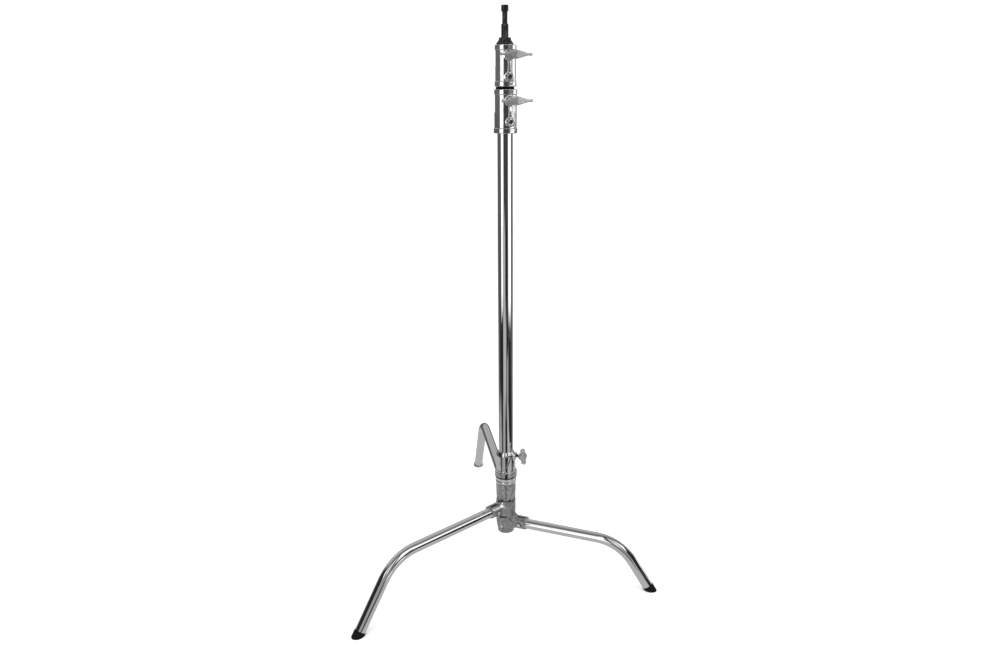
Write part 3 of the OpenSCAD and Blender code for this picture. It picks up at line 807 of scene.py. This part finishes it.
def build_leg(leg):
    """The tube, with painted shade where its arm covers it, its boot and the fasteners of its arm."""
    place = placed(leg.azimuth)
    tube = piece(leg.name + "_chrome", leg_shape(leg), place, leg.body, "chrome_tube", leg.name + "_tube")
    # Marks the tube's length inside its arm for painted shade.
    attribute(tube, "shade", local_points(tube, place)[:, 0] < ARM_END - 0.5)
    inner = (leg.reach - 45, -leg.r - 2, 0)
    outer = (leg.reach + 25, leg.r + 2, 40)
    cast(leg.name + "_boot", leg_foot_field(leg), inner, outer, place, leg.body, "rubber",
         leg.name + "_foot")
    build_arm_fasteners(leg)


def build_arm_fasteners(leg):
    """The cross bolt through a hub's arm, and its nut."""
    middle = placed(leg.azimuth, leg.height) @ shift(x=ARM_BOLT_AT) @ turn(-90 * leg.side, "X")
    bolt = socket_head(shank_len=2 * ARM_R + 3, **HUB_SCREW)
    piece(leg.name + "_screw", bolt, middle @ shift(z=ARM_R), leg.body, "steel_fastener",
          leg.name + "_bolt")
    nut = hex_nut(flats=9.6, height=4, bore_r=3.2)
    piece(leg.name + "_hexnut", nut, middle @ shift(z=-ARM_R) @ turn(180, "X"), leg.body, "steel_fastener",
          leg.name + "_nut")


# ---- Hubs ----

def arm(x, y, z):
    """A hub's arm along +X with its middle line at z = 0: round below, flat above, with bevelled edges."""
    below = rod(x, y, z, ARM_R, 0, ARM_END, 1.2)
    above = block(x, y, z, (0, -ARM_R, 0), (ARM_END, ARM_R, ARM_TOP), 1.2)
    bevel = (np.abs(y) + z) / math.sqrt(2) - ARM_BEVEL
    return common(merge(below, above), bevel, 1.0)


def arm_hollows(x, y, z, leg_r):
    """What is taken out of an arm: the leg's socket, the long slot in the top and the bolt's hole."""
    socket = rod(x, y, z, leg_r, LEG_ROOT - 1, 80, 0)
    slot = block(x, y, z, (SLOT_FROM, -SLOT_HALF, 2), (SLOT_TO, SLOT_HALF, 30), 3.0)
    hole = rod(y, x - ARM_BOLT_AT, z, BOLT_HOLE_R, -30, 30, 0)
    return merge(merge(socket, slot), hole)


def shade_hub(hub, place, arm_z, dark_above, seam=None):
    """Paints shade where it falls: in the arm's slot, round its bolt and in the joint above the hub; also darkens
    both sides of a raised seam.
    """
    x, y, z = local_points(hub, place).T
    up = z - arm_z
    reach = (SLOT_TO - SLOT_FROM) / 2 + 0.4
    in_slot = (np.abs(y) < SLOT_HALF + 0.4) & (np.abs(x - (SLOT_FROM + SLOT_TO) / 2) < reach)
    in_slot = in_slot & (np.abs(up - 8) < 6.2)
    by_bolt = 0.75 * (1 - step_up(np.hypot(x - ARM_BOLT_AT, up), 5.5, 7.5)) * (np.abs(y) > 12)
    dark = np.maximum(in_slot.astype(float), by_bolt)
    dark = np.maximum(dark, step_up(z, dark_above - 0.5, dark_above + 0.3))
    if seam is not None:
        dark = np.maximum(dark, 0.75 * peak(np.abs(rim_length(x, y, seam)) - 0.9, 0.8))
    attribute(hub, "shade", dark)


def polish_and_highlight_bevels(hub, place):
    """Brightens the two bevels along an arm's top: they are rubbed by folding, and their near-white tint is also a
    painted highlight.
    """
    x, y, z = local_points(hub, place).T
    bevel = (np.abs(y) + z) / math.sqrt(2)
    edge = step_up(bevel, ARM_BEVEL - 0.7, ARM_BEVEL - 0.2)
    attribute(hub, "polish_and_highlight", edge * step_up(x, 17, 22))


def build_lower_hub(leg):
    """The foot of the stand, which narrows downwards; heights are from its arm's middle line."""
    foot, top = -29, 21

    def field(x, y, z):
        r = np.hypot(x, y)
        narrow_r = 21 + 3.5 * step_up(z, -26, 4)
        shape = np.maximum(drum(r, z, narrow_r, foot, top, 5.0), drum(r, z, HUB_R, foot, top, 0.8))
        shape = merge(merge(shape, drum(r, z, HUB_R, -1, top, 0.8), 1.0), arm(x, y, z), ARM_FILLET)
        shape = common(shape, z - top, 0.8)
        groove = block(rim_length(x, y, -82 - leg.azimuth), r, z, (-26, 19, 17.5), (26, 22, 40), 0.3)
        window = block(rim_length(x, y, -107 - leg.azimuth), r, z, (-9.5, 21, 16), (9.5, 40, 40), 0.6)
        hole_angle = math.radians(-116 - leg.azimuth)
        across = -x * math.sin(hole_angle) + y * math.cos(hole_angle)
        along = x * math.cos(hole_angle) + y * math.sin(hole_angle)
        hole = rod(along, across, z + 6, BOLT_HOLE_R, 10, 60)
        bore = rod(z, x, y, COLUMN_R, -21, 60)
        hollows = merge(merge(groove, window), merge(hole, arm_hollows(x, y, z, leg.r)))
        return cut(cut(shape, bore, 0.4), hollows, 0.7)

    place = placed(leg.azimuth, leg.height)
    hub = cast("lower_hub_cast", field, (-27, -27, foot - 1), (58, 27, top + 1), place, "base",
               "cast_hub", "lower_hub")
    shade_hub(hub, place, 0, top - 0.7)


def build_lower_hub_screw():
    """The screw that holds the column in the hub, its head's underside just inside the hub's face."""
    middle = (low("lower_hub_screw") + high("lower_hub_screw")) / 2
    place = placed(azimuth_of(middle), middle.z) @ turn(90, "Y") @ shift(z=HUB_R - 0.6)
    piece("lower_hub_setscrew", socket_head(shank_len=6.2, **HUB_SCREW), place, "base", "steel_fastener",
          "lower_hub_screw")


def build_middle_hub(leg):
    """The folding hub, with its stop lug below and its thrust washer above."""
    foot = low("middle_hub").z - leg.height
    top = high("middle_hub").z - leg.height
    body_foot = top - 39.7

    def field(x, y, z):
        r = np.hypot(x, y)
        body = merge(drum(r, z, HUB_R, body_foot, top, 0.9), arm(x, y, z), ARM_FILLET)
        body = common(common(body, z - top, 0.9), body_foot - z, 0.9)
        lug = block(rim_length(x, y, -141 - leg.azimuth), r, z, (-2.2, 19.4, foot), (2.2, 21.6, 0), 0.3)
        bore = rod(z, x, y, COLUMN_R + 0.05, -60, 60)
        return cut(cut(merge(body, lug), bore, 0.4), arm_hollows(x, y, z, leg.r), 0.7)

    place = placed(leg.azimuth, leg.height)
    hub = cast("middle_hub_cast", field, (-27, -27, foot - 1), (58, 27, top + 1), place, "middle_leg",
               "cast_hub", "middle_hub")
    shade_hub(hub, place, 0, top - 1.4)
    polish_and_highlight_bevels(hub, place)
    outer, inner, thick = 22.9, 17.75, 2.4
    ring = [(outer, thick / 2), (outer, thick), (inner, thick), (inner, 0), (outer, 0), (outer, thick / 2)]
    piece("hub_thrust_washer", turned(ring, 0.4, joined=True), placed(0, low("middle_hub_washer").z),
          "middle_leg", "black_nylon", "middle_hub_washer")


def build_tall_hub(leg):
    """The turning hub: a seamed body with notches round its foot and a grooved lip round its top."""
    foot = low("tall_hub").z
    top = high("tall_hub").z - foot
    arm_z = leg.height - foot
    seam = -92 - leg.azimuth
    lip_foot = top - 15.2

    def field(x, y, z):
        r = np.hypot(x, y)
        wall = 23.9 + 0.9 * step_up(z, 0, 36)
        grooved_r = 26.1 - 1.0 * peak(z - (top - 8.2), 1.3)
        body = merge(drum(r, z, wall, 0, 48, 0.9), drum(r, z, grooved_r, lip_foot, top, 1.1), 1.5)
        body = merge(body, arm(x, y, z - arm_z), ARM_FILLET)
        body = body - 0.8 * peak(rim_length(x, y, seam), 0.9)
        body = common(common(body, z - top, 0.8), -z, 0.8)
        notch_turn = (np.degrees(np.arctan2(y, x)) + leg.azimuth) % 45 - 22.5
        notch = rod(r, notch_turn * r * math.pi / 180, z, 3.4, 0, 60)
        bore = rod(z, x, y, 19.95, -10, 90)
        skirt = rod(z, x, y, 21.3, -10, 25.4, 0.5)
        hollows = merge(notch, arm_hollows(x, y, z - arm_z, leg.r))
        return cut(cut(body, merge(bore, skirt), 0.4), hollows, 0.7)

    place = placed(leg.azimuth, foot)
    hub = cast("tall_hub_cast", field, (-28, -28, -1), (58, 28, top + 1), place, "tall_leg",
               "cast_hub", "tall_hub")
    shade_hub(hub, place, arm_z, top - 0.9, seam)
    heights = local_points(hub, place)[:, 2]
    attribute(hub, "pale", np.full(len(heights), 0.7))
    # The lip's polish: real rubbing, with its near-white tint also a painted highlight.
    attribute(hub, "polish_and_highlight", 0.8 * step_up(heights, lip_foot - 0.8, lip_foot + 1.2))


# ---- Sliding collar and knob ----

def build_collar():
    """The chromed collar: its sleeve runs inside the tall hub, and its boss holds the knob's screw."""
    foot = low("sliding_collar").z
    top = high("sliding_collar").z - foot
    knob_z = joint_height("slider_knob_turn") - foot
    rim = high("tall_hub").z + 0.3 - foot
    flange_r, flange_h, barrel_r, sleeve_r = 27.7, 16.4, 23.9, 19.9
    bore_r = COLUMN_R + 0.1

    def crease(x, y, z):
        """1 on the two lines where the boss's broad pad ends, which spread apart downwards."""
        drop = (knob_z - z) / 26
        spread = np.abs(np.degrees(np.arctan2(y, x))) - 40 - 22 * drop
        line = peak(spread * 24 * math.pi / 180, 1.1)
        return line * step_up(drop, -0.1, 0.1) * step_up(-drop, -1.15, -1.0)

    def outside(x, y, z):
        r = np.hypot(x, y)
        flange = drum(r, z, flange_r, rim, rim + flange_h, 2.2)
        shoulder = (r - 18.6) * 0.86 + (z - top) * 0.5
        barrel = common(drum(r, z, barrel_r, rim, top, 0.5), shoulder, 1.4) + 0.9 * crease(x, y, z)
        boss = rod(x, y, z - knob_z, 8.5, 0, 27.6, 1.2)
        drop = np.clip((knob_z - z) / 32, 0, 1)
        gusset = np.hypot(x - 20.5 + 4 * drop, y) - 8.0 + 6.0 * drop
        gusset = np.maximum(gusset, np.abs(z - knob_z + 16) - 16)
        shape = merge(merge(flange, barrel, 3.0), merge(boss, gusset, 4.0), 2.6)
        return merge(common(shape, rim - z, 1.0), drum(r, z, sleeve_r, 0, 48, 0.5))

    def field(x, y, z):
        clip_groove = common(np.abs(np.hypot(x, y) - 20) - 0.9, np.abs(z - 2.3) - 0.8)
        bore = merge(rod(z, x, y, bore_r, -10, 200), rod(z, x, y, 19.4, rim + 8, rim + 46))
        shoe_pocket = rod(x, y, z - knob_z, 5.3, 0, 24.0)
        stud_hole = merge(rod(x, y, z - knob_z, 4.05, 0, 60), shoe_pocket)
        return cut(cut(outside(x, y, z), bore, 0.5), merge(clip_groove, stud_hole), 0.4)

    def painted_collar_shade(x, y, z):
        """Painted shade in the creases and on the flange's lower edge, where it meets the hub's lip, and a darker
        band over the flange that stands in for its dark reflections.
        """
        edge = step_up(rim - z, -4.0, -3.2) * (z > rim - 0.5)
        band = 0.35 * (np.hypot(x, y) > flange_r - 0.5) * (z < rim + flange_h + 0.1)
        return np.maximum(crease(x, y, z), np.maximum(edge, band))

    place = placed(joint_azimuth("slider_knob_turn"), foot)
    collar = cast("sliding_collar_cast", field, (-29, -29, -1), (29, 29, top + 1), place, "slider",
                  "chrome_casting", "sliding_collar")
    # Painted shade for the chrome: creases, the flange's lower edge and its darker band.
    attribute(collar, "shade", painted_collar_shade(*local_points(collar, place).T))


def wing_half(t, root, neck, tip):
    """Half depth of a wing at a share of its span: deep in the middle, flared at the tip."""
    swell = (root - neck) * (1 - np.minimum(t / 0.8, 1)) ** 1.1
    flare = (tip - neck) * (np.maximum(t - 0.7, 0) / 0.3) ** 2
    return neck + swell + flare


def wing_field(half_span, depth, thick, hub_r, hub_len, bore_r):
    """A wing across local Y, its screw along local X; depth and thick are (root, neck, tip) half sizes."""
    def field(x, y, z):
        share = np.sqrt((y / half_span) ** 2 + 0.004)
        tall = np.abs(z) - wing_half(share, *depth)
        wide = np.abs(x) - wing_half(share, *thick)
        blade = common(common(tall, wide, 3.2), np.abs(y) - half_span, 2.4)
        hub = rod(x, y, z, hub_r, -hub_len, 1.0, 1.6)
        bore = rod(x, y, z, bore_r, -hub_len - 5, 0)
        return cut(merge(blade, hub, 4.0), bore, 0.5)

    return field


def build_stud(prefix, r, pitch, start, end):
    """A threaded stud from its shoe to its wing."""
    place = at_screw(prefix + "_turn") @ turn(90, "Y")
    piece(prefix + "_thread", threaded(r, pitch, start, end), place, prefix, "dark_steel", prefix + "_stud")


def build_knob():
    """The collar's wing knob, at rest turned a little past upright, and its M8 stud."""
    field = wing_field(20, (9, 4.5, 8.0), (8.5, 4.4, 7.0), hub_r=8, hub_len=11, bore_r=4)
    place = at_screw("slider_knob_turn") @ shift(x=KNOB_OUT) @ turn(90 + 15, "X")
    cast("slider_knob_tee", field, (-12, -21, -10), (9.5, 21, 10), place, "slider_knob", "satin_handle",
         "slider_knob_wing", cell=0.6)
    build_stud("slider_knob", 4, 1.25, 20.6, KNOB_OUT)


# ---- Lock castings ----

def lock_field(foot, head, tube_r, front_r, back_r):
    """A lock casting, thick towards +X where its handle is; heights are from the handle's screw."""
    offset = 4.0                 # of the front's middle from the tube's
    ring_h, ring_t = 11.0, 1.4
    slim_r = front_r - offset - 0.5
    step_z = (foot + head) / 2
    boss_r, boss_out = 9.2, front_r + offset + 17
    clamp_boss_r, clamp_boss_out = 8, front_r + offset + 4
    rib_z = CLAMP_SCREW_Z / 2

    def outside(x, y, z):
        lower_ring = step_up(-z, -foot - ring_h - 0.6, -foot - ring_h + 0.6)
        upper_ring = step_up(z, head - ring_h - 0.6, head - ring_h + 0.6)
        swell = ring_t * (lower_ring + upper_ring)
        back = back_r + (slim_r - back_r) * step_up(z, step_z - 1.6, step_z + 1.6)
        front = np.hypot(x - offset, y) - front_r - swell
        body = merge(front, np.hypot(x, y) - back - swell, 2.5)
        body = common(body, np.abs(z - step_z) - (head - foot) / 2, 1.6)
        boss = rod(x, y, z, boss_r, 0, boss_out, 3.0)
        clamp_boss = rod(x, y, z - CLAMP_SCREW_Z, clamp_boss_r, 0, clamp_boss_out, 1.0)
        return merge(merge(body, merge(boss, clamp_boss), 4.5), rib(x, y, z), 2.5)

    def rib(x, y, z):
        """A web between the two bosses, thinnest and least deep half way."""
        off = ((z - rib_z) / rib_z) ** 2
        shape = np.maximum(np.abs(y) - 2.4 - 2.6 * off, x - front_r - 4.0 - 3.0 * off)
        return np.maximum(np.maximum(shape, np.abs(z - rib_z) + rib_z), -x)

    def field(x, y, z):
        bore = rod(z, x, y, tube_r, foot - 10, head + 10)
        shoe_pocket = rod(x, y, z, 6.3, 0, tube_r + 7.4)
        stud_hole = merge(rod(x, y, z, 5.05, 0, 80), shoe_pocket)
        clamp_hole = rod(x, y, z - CLAMP_SCREW_Z, 4.6, 0, 80)
        return cut(cut(outside(x, y, z), bore, 0.9), merge(stud_hole, clamp_hole), 0.9)

    return field


def build_lock(prefix, body, tube_r, inner_r, front_r, back_r):
    """A lock casting, its clamp screw, and the T handle that presses on the tube inside it."""
    node = prefix + "_lock_casting"
    handle = prefix + "_handle"
    place = at_screw(handle + "_turn")
    height = joint_height(handle + "_turn")
    foot, head = low(node).z - height, high(node).z - height
    cast(prefix + "_lock_body", lock_field(foot, head, tube_r, front_r, back_r),
         (-28, -27, foot - 1), (front_r + 23, 27, head + 1), place, body, "chrome_casting", node)
    face = front_r + 4.2
    screw = socket_head(shank_r=4, shank_len=face - tube_r, head_r=4.5, head_h=3, flats=5)
    piece(prefix + "_lock_capscrew", screw, place @ shift(x=face, z=CLAMP_SCREW_Z) @ turn(90, "Y"), body,
          "dark_steel", prefix + "_lock_screw")
    build_stud(handle, 5, 1.5, inner_r + 6, HANDLE_OUT)
    wing = wing_field(37, (10, 2.2, 4), (6, 2.4, 2.4), hub_r=6.9, hub_len=15, bore_r=5)
    cast(handle + "_tee", wing, (-16, -38, -11), (7, 38, 11), place @ shift(x=HANDLE_OUT), handle,
         "satin_handle", handle + "_wing", cell=0.7)


def build_buffer():
    """The rubber ring that the first riser's casting lands on."""
    foot, head = low("buffer_ring").z, high("buffer_ring").z
    inner, outer = RISER_1_R + 0.4, high("buffer_ring").x
    middle = (foot + head) / 2
    ring = [(outer, middle), (outer, head), (inner, head), (inner, foot), (outer, foot), (outer, middle)]
    piece("rubber_buffer", turned(ring, 1.2, joined=True), placed(), "base", "rubber", "buffer_ring")


# ---- Baby pin and cap ----

def build_pin():
    """The flared cap on the top riser, and the undercut pin that stands in it."""
    foot, top = low("pin_cap").z, high("pin_cap").z
    wide, inner, seat = high("pin_cap").x, RISER_2_R, 9.2
    cap = [
        (inner, foot + 4), (inner, foot), (wide, foot), (wide, foot + 3), (wide - 3.6, foot + 8),
        (wide - 4.7, foot + 9), (wide - 5.3, foot + 13), (wide - 6.3, top), (seat, top), (seat, top - 6),
        (inner, top - 6), (inner, foot + 4)
    ]
    piece("pin_collar", turned(cap, 0.6, joined=True), placed(), "riser_2", "black_pin", "pin_cap")
    base, tip = low("baby_pin").z, high("baby_pin").z
    r, shank_r, undercut_r = MOUNTS["baby_pin"]["dims"]["r_mm"], 10.9, 5.75
    pin = [
        (8, base), (shank_r, base), (shank_r, top - 6), (seat, top - 6), (seat, top), (r, top),
        (r, top + 27), (undercut_r, top + 29), (undercut_r, top + 53), (r, top + 54),
        (r, tip - 1.2), (r - 1.2, tip)
    ]
    piece("pin_spigot", turned(pin, 0.5), placed(), "riser_2", "black_pin", "baby_pin")


# ---- CAD nodes that keep their shape ----

def dress_inner_nodes():
    """Hidden bushes, shoes, plugs, clips and springs keep their CAD shape and get a worked material."""
    finishes = {
        "dark_steel": ["hub_spring", "spring_washer", "spring_clip", "slider_clip", "riser_2_roll_pin"],
        "white_nylon": [
            "column_lock_bush", "riser_1_lock_bush", "slider_liner", "slider_shoe", "column_shoe",
            "riser_1_shoe", "riser_1_plug", "riser_2_plug"
        ],
    }
    for slot, names in finishes.items():
        for name in names:
            obj = frame["nodes"][name]
            obj.data.materials.clear()
            obj.data.materials.append(MATERIALS[slot])


# ---- Stage ----

def build_floor():
    """A pale round floor, kept out of the chrome's reflections, which come from the studio around it."""
    disc = loft([round_loop(6000, -6.0), round_loop(6000, 0.0)])
    floor = new_object("floor", (disc["points"] * MM).tolist(), disc["faces"])
    made = Recipe("floor", 0.92, 0.0, 0.9)
    made.stain(made.noise(made.place(), 3.0, 3.0), (0.3, 0.7), 1, 0.90)
    floor.data.materials.append(made.done())
    floor.visible_glossy = False


def reflected_panel(name, corners, bright):
    """A flat panel that only reflections see; corners are in metres."""
    panel = new_object(name, corners, [tuple(range(len(corners)))])
    made = Recipe(name, 0.0, 0.0, 1.0)
    made.set("Specular IOR Level", 0.0)
    made.set("Emission Color", (bright, bright, bright * 1.01, 1))
    made.set("Emission Strength", 1.0)
    panel.data.materials.append(made.done())
    panel.visible_camera = False
    panel.visible_diffuse = False
    panel.visible_shadow = False


def dark_flag(name, x, y, z):
    """An upright dark panel across X, between two places along Y and two heights."""
    corners = [(x, y[0], z[0]), (x, y[1], z[0]), (x, y[1], z[1]), (x, y[0], z[1])]
    reflected_panel(name, corners, 0.02)


def build_low_panels():
    """What the legs reflect: pale sheets under the floor, a card in front, dark flags at the sides."""
    sheet = [(-0.05 + 0.62 * x, 0.15 + 0.62 * y, -0.002) for x, y, _ in round_loop(1.0, 0)]
    reflected_panel("pale_sheet", sheet, 0.50)
    front = [
        (0.12, -0.28), (0.14, -0.50), (0.32, -0.62), (0.40, -0.85), (0.46, -1.1), (0.70, -1.1),
        (0.70, -0.28)
    ]
    reflected_panel("front_sheet", [(x, y, -0.003) for x, y in front], 0.52)
    card = [(0.46, -0.95, 0.0), (0.85, -0.95, 0.0), (0.85, -0.95, 0.20), (0.46, -0.95, 0.20)]
    reflected_panel("front_card", card, 0.45)
    dark_flag("right_near_flag", 0.58, (-0.55, -0.03), (0.13, 0.42))
    dark_flag("right_far_flag", 0.90, (-0.75, 0.05), (-0.15, 0.20))
    dark_flag("left_near_flag", -0.58, (-0.80, -0.20), (0.10, 0.46))


# Rings of panels seen in the chrome, by elevation: (from, to, brightness). Degrees run left from straight
# ahead of the camera, so 90 is on the left, 180 is behind the camera and 270 is on the right.
STUDIO_RINGS = {
    -24: [
        (0, 60, 0.30), (62, 113, 0.40), (115, 137, 0.05), (140, 171, 0.40), (174, 207, 0.02),
        (209, 223, 0.20), (226, 262, 0.35), (266, 290, 0.04), (292, 360, 0.14)
    ],
    -18: [
        (0, 76, 0.14), (78, 138, 0.03), (141, 190, 0.50), (193, 216, 0.02), (218, 264, 0.06),
        (268, 300, 0.10), (302, 360, 0.20)
    ],
    -12: [
        (0, 114, 0.09), (116, 136, 1.50), (138, 176, 0.50), (178, 210, 0.02), (213, 226, 0.14),
        (228, 270, 1.60), (274, 360, 0.14)
    ],
    -5: [
        (0, 114, 0.11), (116, 150, 1.50), (153, 212, 0.05), (214, 226, 0.20), (228, 270, 1.60),
        (274, 300, 0.12), (302, 360, 0.20)
    ],
    2: [
        (0, 115, 0.15), (119, 155, 1.40), (158, 206, 0.06), (208, 262, 0.20), (266, 308, 1.30),
        (312, 360, 0.16)
    ],
    12: [
        (0, 62, 0.45), (67, 131, 0.015), (136, 153, 1.20), (157, 200, 0.40), (202, 214, 0.24),
        (218, 262, 0.015), (266, 300, 0.14), (304, 360, 0.50)
    ],
    22: [
        (0, 62, 0.45), (67, 131, 0.015), (136, 150, 1.20), (155, 200, 0.30), (205, 250, 0.20),
        (254, 275, 1.40), (279, 360, 0.40)
    ],
}

# The ceiling's brightness, from over the camera (0) to over the back (1): one broad white light in front,
# a dark gap, then a grey wall. The strips darken parts of it, by the same degrees as the rings.
CEILING_FROM, CEILING_TO = 26, 32
OVERHEAD = [
    (0.0, 1.3), (0.30, 1.3), (0.36, 0.35), (0.42, 0.17), (0.58, 0.20), (0.68, 0.34), (0.80, 0.50),
    (0.92, 0.58), (1.0, 0.60)
]
OVERHEAD_STRIPS = [(0, 156, 1.0), (158, 176, 0.10), (178, 190, 1.0), (192, 214, 0.15), (216, 360, 1.0)]
STUDIO_WHITE = 1.12


def ring_stops(bands, soft=0.004):
    stops = []
    for start, end, bright in bands:
        stops += [(start / 360 + soft, bright), (end / 360 - soft, bright)]
    return stops


def studio_sky(made, direction):
    """The brightness that smooth metal sees in a direction: the rings in turn, then the ceiling."""
    split = made.node("SeparateXYZ")
    made.feed(split.inputs["Vector"], direction)
    x, y, z = split.outputs
    heading = made.math("ARCTAN2", made.math("MULTIPLY", x, -1.0), y)
    around = made.math("FRACT", made.math("ADD", made.math("DIVIDE", heading, 2 * math.pi), 1.0))
    elevation = made.math("MULTIPLY", made.math("ARCSINE", z), 180 / math.pi)
    rings = [made.ramp(around, ring_stops(bands)) for bands in STUDIO_RINGS.values()]
    heights = list(STUDIO_RINGS)
    sky = rings[0]
    for lower, upper, ring in zip(heights, heights[1:], rings[1:]):
        middle, blend = (lower + upper) / 2, (upper - lower) / 6
        sky = made.mix(made.levels(elevation, (middle - blend, middle + blend)), sky, ring)
    slant = made.math("SUBTRACT", y, made.math("MULTIPLY", x, 0.45))
    ceiling = made.ramp(made.levels(slant, (-1.0, 1.0)), OVERHEAD)
    ceiling = made.math("MULTIPLY", ceiling, made.ramp(around, ring_stops(OVERHEAD_STRIPS)))
    return made.mix(made.levels(elevation, (CEILING_FROM, CEILING_TO)), sky, ceiling)


def build_studio():
    """An even white studio for eyes and soft light, and a sky of panels that only reflections see."""
    world = bpy.data.worlds.new("studio")
    bpy.context.scene.world = world
    world.use_nodes = True
    made = Shading(world.node_tree)
    made.tree.nodes.clear()
    sky = studio_sky(made, made.node("TexCoord").outputs["Generated"])
    reflected = made.node("LightPath").outputs["Is Glossy Ray"]
    background = made.node("Background")
    made.feed(background.inputs["Color"], made.mix(reflected, rgba(STUDIO_WHITE), sky))
    made.feed(made.node("OutputWorld").inputs["Surface"], background.outputs["Background"])


def soft_light(name, place, aim, size, power):
    data = bpy.data.lights.new(name, "AREA")
    data.shape = "DISK"
    data.size = size
    data.energy = power
    lamp = bpy.data.objects.new(name, data)
    lamp.location = place
    lamp.rotation_mode = "QUATERNION"
    lamp.rotation_quaternion = (Vector(aim) - Vector(place)).to_track_quat("-Z", "Y")
    lamp.visible_glossy = False
    bpy.context.scene.collection.objects.link(lamp)


def build_camera():
    """Below the stand's top, in front, looking down at its middle."""
    data = bpy.data.cameras.new("camera")
    data.lens = 30.1
    data.shift_x = -0.0050
    data.shift_y = -0.0038
    data.clip_start = 0.05
    camera = bpy.data.objects.new("camera", data)
    camera.location = (0, -1.929, 1.170)
    camera.rotation_euler = Euler((math.radians(90 - 15.51), math.radians(0.14), 0))
    bpy.context.scene.collection.objects.link(camera)
    bpy.context.scene.camera = camera


# ---- The stand ----

MATERIALS = all_materials()
short_leg = Leg("short_leg", "base", -1)
middle_leg = Leg("middle_leg", "middle_leg", 1)
tall_leg = Leg("tall_leg", "tall_leg", 1)
build_tubes()
for each_leg in (short_leg, middle_leg, tall_leg):
    build_leg(each_leg)
build_lower_hub(short_leg)
build_lower_hub_screw()
build_middle_hub(middle_leg)
build_tall_hub(tall_leg)
build_collar()
build_knob()
build_lock("column", "base", COLUMN_R, RISER_1_R, 24.3, 24)
build_buffer()
build_lock("riser_1", "riser_1", RISER_1_R, RISER_2_R, 22.4, 21)
build_pin()
dress_inner_nodes()

build_floor()
build_low_panels()
build_studio()
soft_light("key", (-1.6, -2.2, 3.0), (0, 0, 0.6), 2.0, 60)
soft_light("fill", (2.2, -1.2, 2.2), (0, 0, 0.6), 2.0, 25)
build_camera()
bpy.context.scene.view_settings.view_transform = "Standard"
